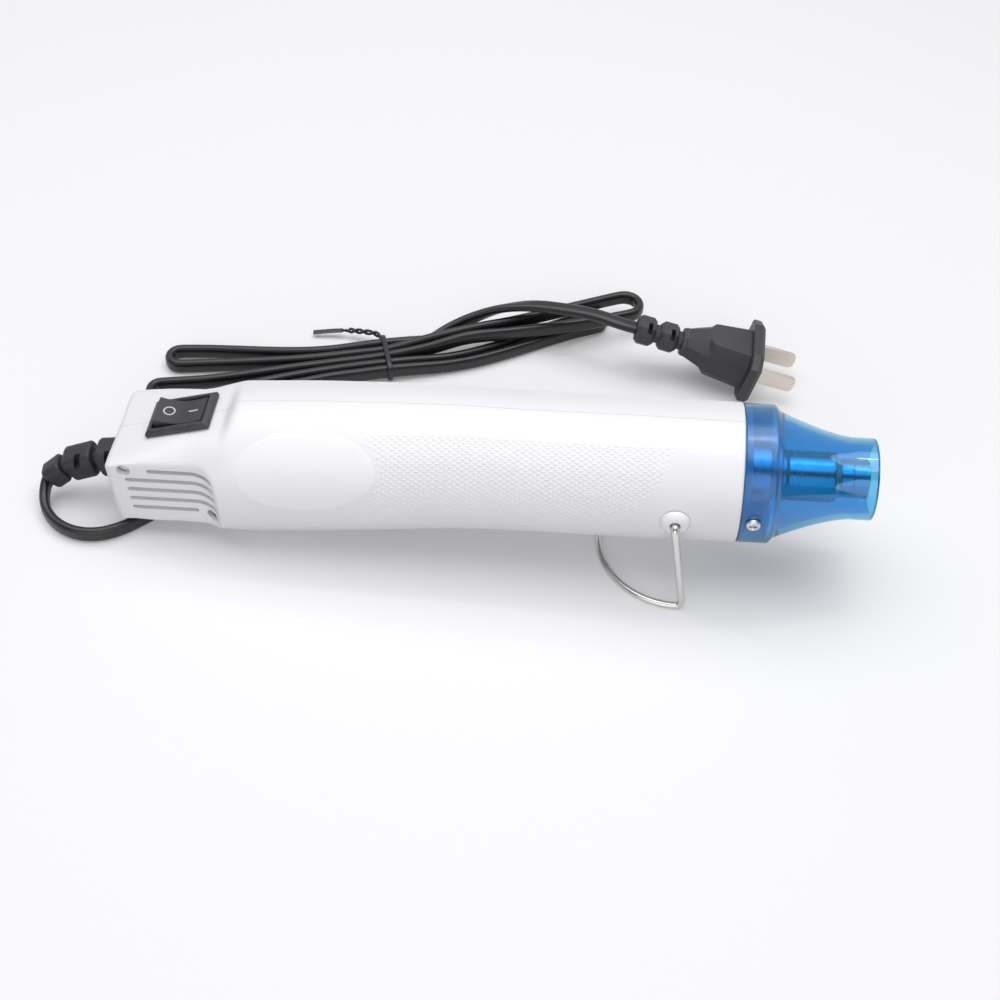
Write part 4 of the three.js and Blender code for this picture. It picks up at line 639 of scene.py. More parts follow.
VENT_HEIGHT = 1.7
VENT_ROWS = [
    (3.4, -179.9, -158.6), (-0.65, -187.4, -158.6), (-4.7, -187.4, -158.6), (-8.75, -187.4, -158.6),
    (-12.8, -187.4, -166.1),
]
SCREW_PLACES = [("housing_screw_rear", -187.2, 3.3, 14.5), ("housing_screw_belly", -161.3, -12.9, 16)]
SCREW_SEAT = 9
RECESS_RADIUS = 2.1
BOSS_RADIUS = 2.6
CORD_HOLE = 4.5
LABEL_S = -130.1
LABEL_HALF_LENGTH = 21.4
LABEL_RISE = math.radians(32)
LABEL_HALF_RISE = math.radians(32)
PAST_SKIN = 34


def droop(s):
    """How far the centre line has sunk, which it does towards the tail."""
    return -0.0725 * (np.hypot(np.maximum(0, -80 - s), 10) - 10)


def round_radius(s):
    """The round body's radius: narrow at the front and the grip, wide at the belly."""
    front = GRIP_RADIUS + (FRONT_RADIUS - GRIP_RADIUS) * ease(s, -31, 0)
    back = BELLY_RADIUS + (GRIP_RADIUS - BELLY_RADIUS) * ease(s, -138, -62)
    return np.where(np.asarray(s) > -62, front, back)


def recess_half_width(s):
    """How far out the tail's sides are: flat, then a hollow sweep that runs out through the round body."""
    run = np.maximum(0, s - SWEEP_START)
    swept = np.minimum(run, SWEEP_RADIUS)
    return TAIL_HALF_WIDTH + SWEEP_RADIUS - np.sqrt(SWEEP_RADIUS ** 2 - swept ** 2) + 4 * (run - swept)


def nearest(closeness, sharpness):
    """How far off the nearest of several walls is, with rounded corners. Each is given as 1 / distance."""
    total = sum(np.maximum(0, c) ** sharpness for c in closeness)
    return total ** (-1 / sharpness)


def housing_radius(s, angle):
    """From the housing's centre line to its skin, at an angle up from the left side."""
    side, up = np.abs(np.cos(angle)), np.sin(angle)
    ramp = np.maximum(0, s - RAMP_START) / 5
    panel = SWITCH_Z + (s - SWITCH_S) * math.tan(PANEL_SLOPE) + 6 * ramp ** 2 - droop(s)
    slant = (side + up) / np.maximum(panel + SLANT_RISE, SHOULDER - droop(s))
    underside = -up / (droop(s) + UNDERSIDE)
    whole = round_radius(s)
    tail = nearest([1 / whole, slant, underside], 16)
    blended = tail + (whole - tail) * ease(s, *TAIL_BLEND)
    body = nearest([1 / blended, up / panel], 16)
    return nearest([1 / body, side / recess_half_width(s)], 70)


def grip_depth(s, rise, near_side):
    """How strongly the diamond grip stands out, from 0 to 1, by place and by height round the side."""
    degrees = np.degrees(rise)
    front_edge = np.interp(degrees, [-10, 13, 41, 63], [-35, -28, -21.5, -19])
    inside = ease(s, GRIP_REAR, GRIP_REAR + 5) * (1 - ease(s, front_edge - 3, front_edge))
    inside = inside * ease(degrees, -10, -5) * (1 - ease(degrees, 58, 63))
    if near_side:
        reach = np.hypot((s - LABEL_S) / LABEL_HALF_LENGTH, (rise - LABEL_RISE) / LABEL_HALF_RISE)
        inside = inside * ease(reach, 1.04, 1.12)
    return inside


def housing_rows(side):
    """Rows of the half shell: rear wall, skin to the front, spigot, then the inside back to the rear wall."""
    rise = np.radians(np.linspace(-90, 90, COLUMNS))
    angle = rise if side > 0 else np.pi - rise
    rows = []

    def row(s, radius):
        y = side * np.maximum(radius * np.cos(rise), PARTING)
        rows.append(np.column_stack([np.full(COLUMNS, s), y, droop(s) + radius * np.sin(rise)]))

    rim = housing_radius(REAR, angle) - REAR_ROUND
    for shrink in (0.0, 0.2, 0.42, 0.62, 0.8, 0.93):
        row(REAR, rim * shrink)
    for t in np.linspace(0, 1, 7)[:-1]:
        inset = REAR_ROUND * (1 - math.sqrt(1 - (1 - t) ** 2))
        row(REAR + REAR_ROUND * t, housing_radius(REAR + REAR_ROUND * t, angle) - inset)
    stations = [*np.arange(REAR + REAR_ROUND, -150, 0.75), *np.arange(-150, GRIP_REAR, 2), *GRIP_STATIONS]
    stations += [*np.arange(-15.5, -1, 1.5), -0.7, -0.25, 0]
    grip_from = len(rows) + stations.index(GRIP_STATIONS[0])
    for s in stations:
        radius = housing_radius(s, angle)
        if GRIP_STATIONS[0] <= s <= GRIP_STATIONS[-1]:
            raised = (len(rows) + np.arange(COLUMNS)) % 2 == 0
            radius = radius + np.where(raised, GRIP_RELIEF, -GRIP_RELIEF) * grip_depth(s, rise, side < 0)
        front_round = {-0.25: 0.08, 0: 0.3}.get(s, 0)
        row(s, radius - front_round)
    for s, radius in SPIGOT:
        row(s, np.full(COLUMNS, radius))
    for s in [*np.arange(-5, -150, -6), *np.arange(-150, INNER_REAR, -1.5), INNER_REAR]:
        row(s, housing_radius(s, angle) - WALL)
    for shrink in (0.7, 0.35, 0.0):
        row(INNER_REAR, (housing_radius(INNER_REAR, angle) - WALL) * shrink)
    return rows, grip_from, grip_from + len(GRIP_STATIONS)


def housing_half(name, side, material):
    """One half shell, with diagonals that cross in the grip and a face along the parting plane."""
    rows, grip_from, grip_to = housing_rows(side)
    points = np.concatenate(rows)
    faces = []
    for i in range(len(rows) - 1):
        for j in range(COLUMNS - 1):
            a, b = i * COLUMNS + j, i * COLUMNS + j + 1
            c, d = b + COLUMNS, a + COLUMNS
            if grip_from <= i < grip_to - 1:
                even = (i + j) % 2 == 0
                faces += [(a, b, d), (b, c, d)] if even else [(a, b, c), (a, c, d)]
            else:
                faces.append((a, b, c, d))
    low = [i * COLUMNS for i in range(len(rows))]
    high = [i * COLUMNS + COLUMNS - 1 for i in range(len(rows))]
    faces.append(tuple(low + high[-2:0:-1]))
    return add_piece(name, points, faces, material, ON_TOOL, crease=38)


def slot_cutter(start, end, z, height, y0, y1):
    """A slot with round ends, as long as the stretch from start to end, cut from y0 to y1."""
    r = height / 2
    ends = np.radians(np.linspace(-90, 90, 9))
    outline = [(end - r + r * math.cos(a), z + r * math.sin(a)) for a in ends]
    outline += [(start + r - r * math.cos(a), z - r * math.sin(a)) for a in ends]
    return skin([[(s, y, h) for s, h in outline] for y in (y0, y1)])


def rod_cutter(s, z, y0, y1, radius, sides=40):
    """A rod across the tool, from y0 to y1."""
    circle = rounded_section(radius, radius, sides, 2)
    return skin([[(s + a, y, z + b) for a, b in circle] for y in (y0, y1)])


def boss(s, z, y0, y1, hole, outside, sides=32):
    """A screw boss: a tube inside the housing that the screw goes through."""
    inner = rounded_section(hole, hole, sides, 2)
    outer = rounded_section(outside, outside, sides, 2)
    loops = [(inner, y0), (outer, y0), (outer, y1), (inner, y1), (inner, y0)]
    return skin([[(s + a, y, z + b) for a, b in loop] for loop, y in loops], ends=False)


# White ABS, injection moulded: satin with a fine spark grain of about 0.25 mm, a trace cool, with faint
# cloudy variation in gloss and painted shade that greys the hollows.
white_abs = mottled(
    "ABS, injection moulded, spark finish", (35.71, 5), ("#ededf0", "#f5f4f7"), (0.34, 0.48),
    relief=(0.06, 0.2), grain=(0.25, 2), IOR=1.54,
)
# Painted shade: the hollows of the white moulding are greyed.
tinted(white_abs, (0.38, 0.49), (0.35, 0), "#c9c8cb")

HALVES = [("housing_half_right", "housing_right", -1), ("housing_half_left", "housing_left", 1)]
for name, node, side in HALVES:
    half = housing_half(name, side, white_abs)
    cutters = []
    for z, start, end in VENT_ROWS:
        cutters.append(slot_cutter(start, end, z, VENT_HEIGHT, side * 13, side * PAST_SKIN))
    cutters.append(rod_cutter(PIVOT_S, 0, side * 15, side * PAST_SKIN, BUSH_BORE))
    if side < 0:
        cutters += [rod_cutter(s, z, -PAST_SKIN, -SCREW_SEAT, RECESS_RADIUS) for _, s, z, _ in SCREW_PLACES]
    cut(half, cutters, ON_TOOL)
    cut(half, [block((-9.8, -6.8, -6), (9.8, 6.8, 6))], ON_PANEL)
    circle = rounded_section(CORD_HOLE, CORD_HOLE, 40, 2)
    cut(half, [skin([[(s, a, RELIEF_ROOT[2] + b) for a, b in circle] for s in (-196, -189)])], ON_TOOL)
    sharpen(half, 38, (GRIP_REAR, -20))
    bosses = []
    for _, s, z, wall in SCREW_PLACES:
        bosses.append(boss(s, z, side * 0.2, side * (SCREW_SEAT if side < 0 else wall), 1.2, BOSS_RADIUS))
        if side < 0:
            bosses.append(boss(s, z, -SCREW_SEAT, -wall, RECESS_RADIUS, BOSS_RADIUS))
    lug_y = sorted((side * 15.8, side * 18.8))
    lug = block((-1, lug_y[0], -2.2), (6.6, lug_y[1], 2.2))
    baffle_y = sorted((side * 13.5, side * 14.2))
    baffle = block((-190, baffle_y[0], -15.5), (-158, baffle_y[1], 4.9))
    inner = add_piece(name + "_bosses", *joined([*bosses, lug, baffle]), white_abs, ON_TOOL)
    for piece in (half, inner):
        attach(piece, "body")
    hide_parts(node)

# Label: an oval of white vinyl film with a matt face, die cut and stuck on the near side of the body.
# It is left bare.
LABEL_STEPS = [*[(reach, 0.1) for reach in (0, 0.3, 0.6, 0.8, 0.93, 0.99)], (1, 0.06), (1, -0.05)]
around = 2 * np.pi * np.arange(96) / 96
label_rings = []
for reach, lift in LABEL_STEPS:
    s = LABEL_S + LABEL_HALF_LENGTH * reach * np.cos(around)
    angle = np.pi - (LABEL_RISE + LABEL_HALF_RISE * reach * np.sin(around))
    radius = housing_radius(s, angle) + lift
    label_rings.append(np.column_stack([s, radius * np.cos(angle), droop(s) + radius * np.sin(angle)]))

# White vinyl film: brighter and smoother than the moulding round it, with a soft sheen.
label_film = mottled(
    "vinyl film, matt laminate", (11.11, 4), ("#f3f3f6", "#faf9fc"), (0.42, 0.56),
    relief=(0.1, 0.2), grain=(2.381, 3), IOR=1.5,
)

label = add_piece("label_bare", *skin(label_rings), label_film, ON_TOOL, crease=40)
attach(label, "body")

# Housing screws: two pan-head self-tapping screws that close the halves, deep in recesses on the near side.
# Turned and thread-rolled steel with a cross recess.


def turned(profile, sides, closed=True):
    """A shape turned about the X axis from [place, radius] pairs. A closed profile returns to its start.
    Straight stretches get a ring near each end, so that they shade straight."""
    angles = 2 * np.pi * np.arange(sides) / sides
    corners = np.array([*profile, profile[0]] if closed else profile, float)
    loop = [corners[0]]
    for start, end in zip(corners, corners[1:]):
        length = np.linalg.norm(end - start)
        if length > 1.2:
            loop += [start + (end - start) * 0.15 / length, end - (end - start) * 0.15 / length]
        loop.append(end)
    rings = [[(s, r * math.cos(a), r * math.sin(a)) for a in angles] for s, r in loop]
    return skin(rings, ends=False)


# Zinc-plated steel: bright, bluish, with turning marks. They are 0.4 mm apart, as finer ones do not show.
zinc_steel = mottled(
    "steel, zinc plated", (0.3846, 3), ("#b9bcc2", "#dfe1e4"), (0.18, 0.4),
    relief=(0.12, 0.1), Metallic=1,
)


def cross_recess(depth, length, width):
    """Two crossed wedges that cut a screw's driving recess, in from the head's top at X = 0."""
    wedges = []
    for turn in (0, 1):
        rings = []
        for x, scale in [(0.5, 1.2), (-depth, 0.55)]:
            a, b = length * scale, width * scale
            corners = [(-a, -b), (a, -b), (a, b), (-a, b)]
            rings.append([(x, p, q) if turn == 0 else (x, -q, p) for p, q in corners])
        wedges.append(skin(rings))
    return wedges


def screw(name, head_profile, recess, place):
    """A turned screw with its driving recess cut, one wedge after the other."""
    piece = add_piece(name, *turned(head_profile, 40, closed=False), zinc_steel, place, crease=40)
    cut(piece, recess[:1], place)
    cut(piece, recess[1:], place)
    sharpen(piece, 35)
    return piece


def on_side(s, y, z, side):
    """Where a piece turned about the X axis lies when it points out of one side of the tool."""
    return ON_TOOL @ Matrix.Translation((s, y, z)) @ Matrix.Rotation(math.copysign(math.pi / 2, side), 4, "Z")


SCREW_HEAD_Y = -10.9
profile = [(0, 0), (0, 1.1), (-0.3, 1.65), (-0.8, 1.9), (-1.6, 1.9), (-1.6, 1.1)]
for x in -1.9 - 1.2 * np.arange(8):
    profile += [(x, 0.95), (x - 0.5, 1.12), (x - 0.7, 0.95)]
profile += [(-11.9, 0.5), (-12.2, 0)]
for name, s, z, _ in SCREW_PLACES:
    recess = cross_recess(0.9, 1.0, 0.24)
    housing_screw = screw(name + "_head", profile, recess, on_side(s, SCREW_HEAD_Y, z, -1))
    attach(housing_screw, "body")
    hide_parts(name)

# Stand bushes: two domed ABS buttons pressed into the sides of the housing, each with a flared hole in
# which the end of the wire stand turns.
BUSH_SEAT = 22.05
dome_turn = np.radians(np.linspace(8, 84, 10))
profile = [(18.6, 1.4), (18.6, 2.2), (18.8, 2.4), (BUSH_SEAT - 0.25, 2.4)]
profile += [(BUSH_SEAT - 0.2, 4.35), (BUSH_SEAT, 4.5)]
profile += [(BUSH_SEAT + 2.15 * math.sin(a), 4.5 - 2.6 * (1 - math.cos(a))) for a in dome_turn]
profile += [(BUSH_SEAT + 2.13, 1.9), (BUSH_SEAT + 1.95, 1.68), (BUSH_SEAT + 1.5, 1.47), (BUSH_SEAT + 1, 1.4)]
for name, node, side in [("bush_right", "stand_bush_right", -1), ("bush_left", "stand_bush_left", 1)]:
    bush = add_piece(name, *turned(profile, 64), white_abs, on_side(PIVOT_S, 0, 0, side))
    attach(bush, "body")
    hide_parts(node)

# Wire stand: 2.2 mm stainless spring wire, bent cold: two legs with their ends turned into the bushes,
# sharp heels and a curved foot on the table.
PIVOT_HEIGHT = SEAM_HEIGHT + PIVOT_S * math.sin(TILT)
WIRE_RADIUS = 1.1
LEG_DROP = PIVOT_HEIGHT - WIRE_RADIUS
LEG_LEAN = math.radians(10.8)
STAND_HALF_WIDTH = 25.55
LEG_BEND = 2.2
FOOT_BEND = 3
FOOT_DEPTH = 24.2
foot_reach = LEG_DROP * math.tan(LEG_LEAN)
leg_way = np.array([math.sin(LEG_LEAN), 0, -math.cos(LEG_LEAN)])
corner = np.array([0, -STAND_HALF_WIDTH, 0])
turn_in = corner + np.array([0, LEG_BEND, 0])
heel = np.array([foot_reach, -STAND_HALF_WIDTH, -LEG_DROP])
near_leg = [np.array([0, y, 0]) for y in (-17.6, -18.4, -20, -22)]
near_leg += [turn_in, *bent_line(turn_in, corner, corner + LEG_BEND * leg_way, 10)[1:-1]]
straight = np.linspace(LEG_BEND, LEG_DROP / math.cos(LEG_LEAN) - FOOT_BEND, 14)
near_leg += [corner + leg_way * d for d in straight]
near_leg += [*bent_line(heel - FOOT_BEND * leg_way, heel, heel - np.array([FOOT_BEND, 0, 0]), 10)[1:-1]]
foot_turn = np.linspace(0, np.pi, 61)
foot_x = foot_reach - FOOT_BEND - FOOT_DEPTH * np.sin(foot_turn)
foot = np.column_stack([foot_x, -STAND_HALF_WIDTH * np.cos(foot_turn), np.full(len(foot_turn), -LEG_DROP)])
far_leg = [p * np.array([1, -1, 1]) for p in reversed(near_leg)]
wire_route = np.array([*near_leg, *foot, *far_leg])
wire_rings = []
wire_side = np.array([1.0, 0, 0])
for i, (centre, tangent) in enumerate(zip(wire_route, headings(wire_route))):
    wire_side = unit(wire_side - tangent * wire_side.dot(tangent))
    wire_up = np.cross(tangent, wire_side)
    radius = WIRE_RADIUS - (0.2 if i in (0, len(wire_route) - 1) else 0)
    section = rounded_section(radius, radius, 20, 2)
    wire_rings.append([centre + wire_side * a + wire_up * b for a, b in section])

# Stainless spring wire, drawn: bright and slightly warm, with faint draw marks. They are shown about 0.6 mm
# apart, because finer ones would be lost.
drawn_wire = mottled(
    "stainless steel, drawn wire", (0.5556, 4), ("#c6c3c0", "#e6e4e2"), (0.1, 0.26),
    relief=(0.06, 0.1), Metallic=1,
)

AT_PIVOT = IN_MILLIMETRES @ Matrix.Translation((SEAM_X + PIVOT_S * math.cos(TILT), 0, PIVOT_HEIGHT))
stand = add_piece("stand_wire", *skin(wire_rings), drawn_wire, AT_PIVOT, crease=60)
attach(stand, "stand")
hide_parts("wire_stand")

# Switch frame: the nylon case of a snap-in rocker switch, with a bevelled bezel that rests on the panel.
# The rocker tips in its pocket.
FRAME_STEPS = [
    (9.3, 6.3, 0.4, -11.9), (9.5, 6.5, 0.5, -11.7), (9.5, 6.5, 0.5, 0.28), (10.6, 7.6, 0.5, 0.28),
    (10.7, 7.7, 0.6, 0.4), (10.7, 7.7, 0.6, 1.15), (10.55, 7.55, 0.55, 1.45), (9.5, 6.6, 0.5, 2.24),
    (9.3, 6.4, 0.5, 2.3), (8.8, 5.95, 0.4, 2.3), (8.62, 5.78, 0.35, 2.16), (8.56, 5.7, 0.3, 1.9),
    (8.56, 5.7, 0.3, -6.05),
]


def rounded_rectangle(half_x, half_y, corner, z):
    """A ring round a rectangle with rounded corners, at a height."""
    ring = []
    for x_sign, y_sign, start in [(1, 1, 0), (-1, 1, 90), (-1, -1, 180), (1, -1, 270)]:
        for a in np.radians(np.linspace(start, start + 90, 6)):
            x = x_sign * (half_x - corner) + corner * math.cos(a)
            y = y_sign * (half_y - corner) + corner * math.sin(a)
            ring.append((x, y, z))
    return ring


frame_rings = [rounded_rectangle(*step) for step in FRAME_STEPS]

# Black glass-filled nylon: matt, with a moulded grain of about 0.3 mm.
bezel_nylon = mottled(
    "nylon, moulded, grained", (3.333, 4), ("#2b2b30", "#3f3f45"), (0.38, 0.55),
    relief=(0.3, 0.2), grain=(0.303, 2), IOR=1.53,
)

switch_frame = add_piece("switch_case", *skin(frame_rings), bezel_nylon, ON_PANEL, crease=40)
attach(switch_frame, "body")
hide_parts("switch_frame")

# Switch rocker: a moulded nylon key with a hollow top. It is tipped with its front end down. The printed
# marks are a ring on the raised end and a line on the other.
ROCKER_TIP = math.radians(11)
ON_ROCKER = ON_PANEL @ Matrix.Translation((0, 0, 0.5)) @ Matrix.Rotation(ROCKER_TIP, 4, "Y")
ROCKER_HALF = 7.8


def rocker_top(x):
    """The height of the key's hollow top."""
    return 1.5 + 1.7 * np.abs(np.asarray(x) / ROCKER_HALF) ** 1.7


top_line = [(x, float(rocker_top(x))) for x in np.linspace(-ROCKER_HALF + 0.25, ROCKER_HALF - 0.25, 25)]
rocker_outline = [(-ROCKER_HALF, 2.85), *top_line, (ROCKER_HALF, 2.85)]
rocker_outline += [(7.6, -0.6), (3.1, -4.9), (-3.1, -4.9), (-7.6, -0.6)]
rocker_rings = []
for y, trim in [(-5.2, 0.25), (-4.95, 0), (4.95, 0), (5.2, 0.25)]:
    rocker_rings.append([(x * (1 - trim / 9), y, z - trim if z > 0 else z) for x, z in rocker_outline])

# Black nylon, moulded smooth: glossier than the bezel, with faint fine scratches.
rocker_nylon = mottled(
    "nylon, moulded, satin", (4.545, 5), ("#252529", "#35353b"), (0.28, 0.44),
    relief=(0.1, 0.2), grain=(0.3333, 2), IOR=1.53,
)

rocker = add_piece("switch_key", *skin(rocker_rings), rocker_nylon, ON_ROCKER, crease=30)
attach(rocker, "rocker")
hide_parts("switch_rocker")

around = 2 * np.pi * np.arange(48) / 48
ring_loops = []
for radius, lift in [(1.4, -0.06), (1.4, 0.04), (1.85, 0.04), (1.85, -0.06), (1.4, -0.06)]:
    x = -3.7 + radius * np.cos(around)
    ring_loops.append(np.column_stack([x, radius * np.sin(around), rocker_top(x) + lift]))
line_loops = []
for x in np.linspace(2.4, 5.4, 9):
    z = float(rocker_top(x))
    line_loops.append([(x, -0.28, z - 0.06), (x, 0.28, z - 0.06), (x, 0.28, z + 0.04), (x, -0.28, z + 0.04)])

# White pad-printing ink: matt, a little uneven at its edges.
mark_ink = mottled("pad-printing ink", (0.6667, 4), ("#b4b4b9", "#d8d8dc"), (0.5, 0.7), IOR=1.5)

printed = joined([skin(ring_loops, ends=False), skin(line_loops)])
marks = add_piece("switch_marks", *printed, mark_ink, ON_ROCKER)
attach(marks, "rocker")

# Nozzle guard: a clear blue polycarbonate moulding over the hot barrel: a collar pushed over the housing's
# spigot, a hollow flare and a straight tip, all with an even wall.
COLLAR_RADIUS = 21.2
TIP_RADIUS = 12.5
GUARD_WALL = 1.8
GUARD_SCREW_S = 4
FLARE_START = 11
FLARE_END = 34
FLARE_RADIUS = 19.6
COLLAR_HAZE_AND_SHADE_FADE = (9.435, 11.439)


def guard_radius(s):
    """The radius of the hollow flare, from the collar to the tip."""
    t = np.clip((s - FLARE_START) / (FLARE_END - FLARE_START), 0, 1)
    return TIP_RADIUS + (FLARE_RADIUS - TIP_RADIUS) * (1 - t) ** 1.45


outside = [(0.3, 20.9), (0.38, 21.1), (0.6, COLLAR_RADIUS), (9.2, COLLAR_RADIUS)]
outside += [(9.6, 21.1), (10.1, 20.7), (10.6, 20.1)]
outside += [(s, float(guard_radius(s))) for s in np.linspace(FLARE_START, FLARE_END, 30)]
outside += [(36.5, TIP_RADIUS), (39.9, TIP_RADIUS), (40.3, 12.4), (40.5, 12.1)]
inside = [(40.5, 11.1), (40.3, 10.8), (39.9, 10.7), (36.5, 10.7)]
inside += [(s, float(guard_radius(s)) - GUARD_WALL) for s in np.linspace(FLARE_END, FLARE_START + 0.6, 30)]
inside += [(10.4, 18.2), (9.4, 18.9), (8.4, 19.3), (7.6, 19.4), (0.6, 19.4), (0.38, 19.5), (0.3, 19.7)]

# Clear blue polycarbonate, injection moulded and polished: deep blue through two walls, pale through one,
# dark at the edges where light runs along the wall. The collar is hazy, as its inside is left unpolished, and
# its blue is painted deeper there as painted shade.
blue_polycarbonate = mottled(
    "polycarbonate, clear blue", (16.67, 3), ("#4fb4e6", "#5cbeec"), (0.02, 0.06), IOR=1.585,
    Transmission_Weight=1.0,
)
tree = blue_polycarbonate.node_tree
shader = tree.nodes["Principled BSDF"]
tone, gloss = [shader.inputs[name].links[0].from_socket for name in ("Base Color", "Roughness")]
along = add_node(tree, "SeparateXYZ", {"Vector": add_node(tree, "TexCoord").outputs["Object"]}).outputs["X"]
hazy, clear = [on_tool((s, 0, 0))[0] / 1000 for s in COLLAR_HAZE_AND_SHADE_FADE]
fade = {"Value": along, "From Min": hazy, "From Max": clear, "To Min": 1, "To Max": 0}
collar = add_node(tree, "MapRange", fade)
haze = add_node(tree, "Mix", {"Factor": collar, "A": gloss, "B": 0.22})
# Painted shade: the collar's blue is made deeper along its length, over the same fade as its haze.
deep = add_node(tree, "Mix", {"Factor": collar, "A": tone, "B": srgb("#44b0e9")}, data_type="RGBA")
feed(tree, shader, {"Base Color": deep, "Roughness": haze})

shell = turned([*outside, *inside], 144)
guard = add_piece("nozzle_guard_shell", *shell, blue_polycarbonate, ON_TOOL, crease=50)
screw_seats = [rod_cutter(GUARD_SCREW_S, 0, y, y + 2.4, 2.55, 48) for y in (-23, 20.6)]
cut(guard, screw_seats, ON_TOOL)
sharpen(guard, 50)
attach(guard, "body")
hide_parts("nozzle_guard")

# Guard screws: short pan-head screws of zinc-plated steel, turned, with a cross recess. They go through the
# collar into the housing's lugs, one on each side.
profile = [(0, 0), (0, 1.3), (-0.15, 1.75), (-0.45, 2.1), (-0.7, 2.2), (-1, 2.2), (-1, 1)]
profile += [(-4.7, 1), (-5, 0.6), (-5, 0)]
COLLAR_SCREWS = [
    ("collar_screw_right", "guard_screw_right", -1), ("collar_screw_left", "guard_screw_left", 1),
]
for name, node, side in COLLAR_SCREWS:
    recess = cross_recess(0.9, 1.3, 0.4)
    guard_screw = screw(name, profile, recess, on_side(GUARD_SCREW_S, side * 22.35, 0, side))
    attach(guard_screw, "body")
    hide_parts(node)

# Heat barrel: a stainless tube drawn in three steps, with a bead behind the neck and a rolled lip at the
# mouth. It holds the heater and carries the hot air out through the guard.
barrel_profile = [
    (-64, 10.3), (9.2, 10.3), (9.7, 10.2), (10.1, 9.9), (10.4, 9.4), (10.7, 8.6), (11.1, 8.0), (11.6, 7.8),
    (12.2, 7.85), (12.6, 8.2), (13.1, 8.35), (13.6, 8.2), (14, 7.85), (14.4, 7.75), (27.6, 7.75),
    (28.2, 7.65), (28.8, 7.3), (29.2, 6.8), (29.5, 6.3), (30, 6.02), (30.6, 6), (33, 6), (33.3, 6.2),
    (33.7, 6.2), (34, 6), (37.4, 6), (37.8, 6.15), (38.4, 6.2), (38.75, 6.05), (38.8, 5.7), (38.6, 5.35),
    (30, 5.3), (29, 5.6), (28, 7), (12, 7.05), (10.6, 7.4), (10, 9.2), (9.2, 9.6), (-64, 9.6),
]

# Stainless steel, drawn: a soft ring-wise brush about 0.3 mm apart, with a faint straw heat tint in patches
# of about 14 mm.
drawn_steel = mottled(
    "stainless steel, drawn tube", (0.303, 3), ("#c9c6c0", "#e3e2e0"), (0.14, 0.34),
    relief=(0.1, 0.1), lie={"Rotation": (0, TILT, 0), "Scale": (1, 0.01818, 0.01818)},
    Metallic=1, Anisotropic=0.4,
)
tree = drawn_steel.node_tree
place = add_node(tree, "TexCoord").outputs["Object"]
tint = add_node(tree, "TexNoise", {"Vector": place, "Scale": 1000 / 14.29, "Detail": 3})
feed(tree, tree.nodes["Mix"], {"Factor": tint})

barrel = add_piece("heat_barrel_tube", *turned(barrel_profile, 96), drawn_steel, ON_TOOL, crease=50)
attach(barrel, "body")
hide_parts("heat_barrel")

# Heater: mica fins in a mica sleeve carry a nichrome coil, with a ring that centres the barrel and a funnel
# that leads the fan's air in. These stay as the solids give them, cut from sheet and wound.


def cover(material, *names):
    """Gives solids that stay as they are their material."""
    for name in names:
        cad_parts[name].data.materials[0] = material


# Phlogopite mica sheet: amber, with pearly flakes of about 2.4 mm.
mica, tree, shader = start_material("phlogopite mica sheet", IOR=1.58)
place = add_node(tree, "TexCoord").outputs["Object"]
flakes = add_node(tree, "TexVoronoi", {"Vector": place, "Scale": 1000 / 2.381})
tone = add_node(tree, "Mix", {"Factor": flakes, "A": srgb("#a98f63"), "B": srgb("#cdb98f")}, data_type="RGBA")
gloss = add_node(tree, "MapRange", {"Value": flakes, "To Min": 0.25, "To Max": 0.6})
feed(tree, shader, {"Base Color": tone, "Roughness": gloss})

# Nichrome wire: dull grey with a dark oxide bloom from heat.
nichrome = mottled("nichrome wire, oxidised", (2, 4), ("#5e5a57", "#9a9894"), (0.35, 0.6), Metallic=1)

cover(mica, "barrel_ring", "mica_sleeve", "heater_core", "air_funnel")
cover(nichrome, "heater_coil")
cover(zinc_steel, "thermal_fuse")

# Motor, fan and rectifier: a small can motor in a spoked nylon disc, a seven-blade fan on its shaft, and
# four diodes on a paper laminate board behind it. They sit unseen in the body.

# Phenolic paper laminate: brown, with the faint fibre pattern of the paper.
laminate = mottled("phenolic paper laminate", (0.8333, 5), ("#7a5a30", "#a37f4c"), (0.4, 0.6), IOR=1.56)

cover(zinc_steel, "motor_can", "motor_shaft")
cover(rocker_nylon, "motor_end_cap", "motor_mount", "fan_impeller")
cover(rocker_nylon, "diode_1", "diode_2", "diode_3", "diode_4")
cover(laminate, "rectifier_board")

# Switch terminals and leads: stamped brass tabs under the switch, and three silicone-covered wires that run
# from the cord to the switch and the board.

# Stamped brass: yellow, satin, with fine rolling lines.
brass = mottled("brass, stamped", (0.5, 3), ("#b8923e", "#d9b868"), (0.25, 0.45), Metallic=1)

# Red silicone sleeving: matt and slightly dusty.
sleeving = mottled("silicone sleeving", (1.667, 4), ("#a83029", "#c8493f"), (0.45, 0.65), IOR=1.43)

cover(brass, "switch_terminal_rear", "switch_terminal_front")
cover(sleeving, "supply_lead_live", "supply_lead_neutral", "switched_lead")

# Floor and light: a white table under a broad soft box, with a fill from the front, a small strip light and
# a dim room round it. The table shows white to the eye, in metal and through the guard, and keeps the
# tool's soft shadow.
floor_data = bpy.data.meshes.new("floor")
floor_data.from_pydata([(-3, -3, 0), (3, -3, 0), (3, 3, 0), (-3, 3, 0)], [], [(0, 1, 2, 3)])
floor = bpy.data.objects.new("floor", floor_data)
scene.collection.objects.link(floor)

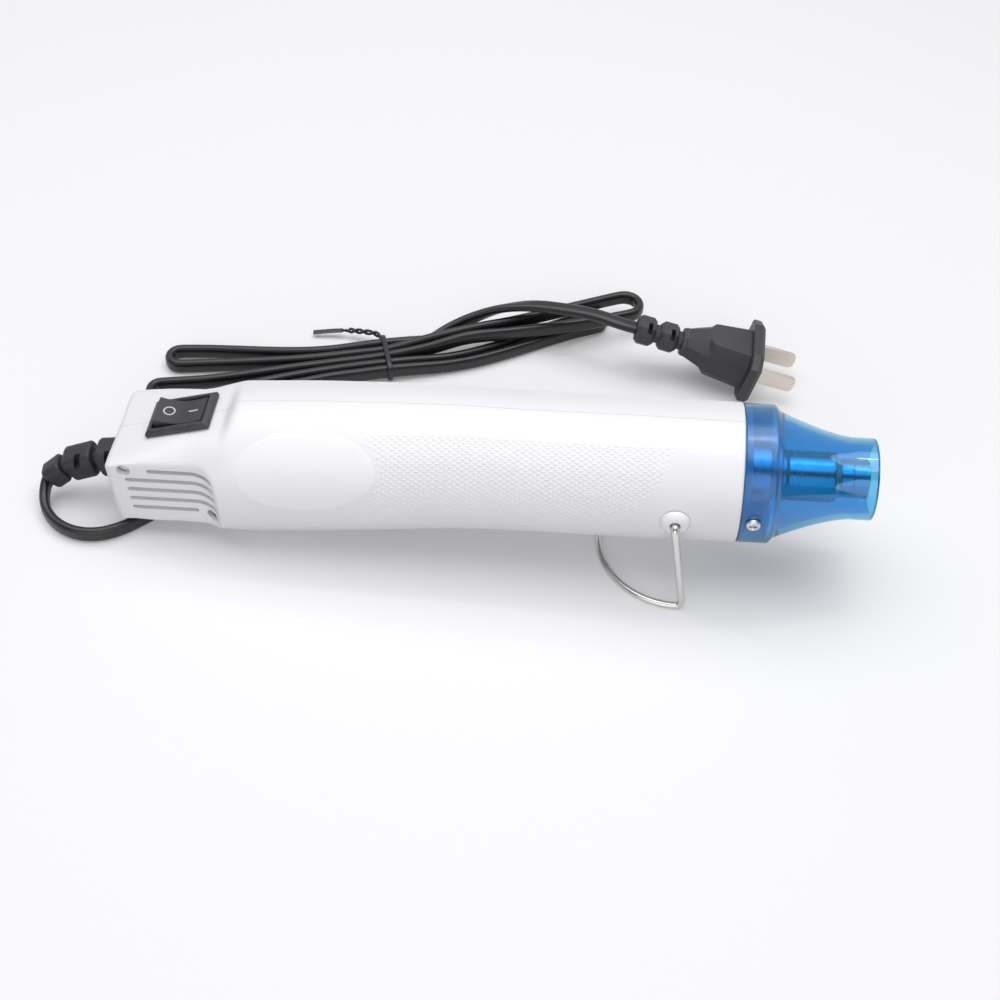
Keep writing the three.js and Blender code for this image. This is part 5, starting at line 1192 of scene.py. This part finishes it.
# White table paint: matt, a little short of white. It lights the tool from below like a greyer board.
table_white, tree, shader = start_material("white table paint", Roughness=0.9)
shader.inputs["Base Color"].default_value = srgb("#f7f7f9")
rays = add_node(tree, "LightPath").outputs
seen = add_node(tree, "Math", {0: rays["Is Camera Ray"], 1: rays["Is Glossy Ray"]}, operation="MAXIMUM")
seen = add_node(tree, "Math", {0: seen, 1: rays["Is Transmission Ray"]}, operation="MAXIMUM")
glow = add_node(tree, "Emission", {"Color": srgb("#ffffff"), "Strength": 1.0})
lit = add_node(tree, "MixShader", {0: 0.14, 1: shader, 2: glow})
dim = add_node(tree, "BsdfDiffuse", {"Color": srgb("#b4b4b8")})
blend = add_node(tree, "MixShader", {0: seen, 1: dim, 2: lit})
feed(tree, tree.nodes["Material Output"], {"Surface": blend})
floor_data.materials.append(table_white)

room = bpy.data.worlds.new("room")
room.use_nodes = True
tree = room.node_tree
rays = add_node(tree, "LightPath").outputs
seen = add_node(tree, "Math", {0: rays["Is Glossy Ray"], 1: rays["Is Transmission Ray"]}, operation="MAXIMUM")
walls = add_node(tree, "Background", {"Color": srgb("#f4f5f8"), "Strength": 0.22})
way = add_node(tree, "SeparateXYZ", {"Vector": add_node(tree, "TexCoord").outputs["Generated"]}).outputs["Y"]
behind = {"Value": way, "From Min": -0.75, "From Max": 0.25, "To Min": 0.08, "To Max": 0.8}
glare = add_node(tree, "MapRange", behind)
bright_walls = add_node(tree, "Background", {"Color": srgb("#f4f5f8"), "Strength": glare})
blend = add_node(tree, "MixShader", {0: seen, 1: walls, 2: bright_walls})
feed(tree, tree.nodes["World Output"], {"Surface": blend})
scene.world = room

LAMPS = [
    ("soft_box", 1.7, 1.3, 11.3, (-0.05, 0.15, 1.1), -6),
    ("front_fill", 2.2, 1.2, 9.5, (0, -1.3, 0.55), 68),
    ("strip_light", 0.3, 0.04, 0.35, (0.1, 0.16, 0.7), -12),
]
for name, width, depth, watts, place, lean in LAMPS:
    light = bpy.data.lights.new(name, "AREA")
    light.shape = "ELLIPSE"
    light.size = width
    light.size_y = depth
    light.energy = watts
    lamp = bpy.data.objects.new(name, light)
    lamp.matrix_world = Matrix.Translation(place) @ Matrix.Rotation(math.radians(lean), 4, "X")
    scene.collection.objects.link(lamp)

scene.view_settings.view_transform = "Standard"
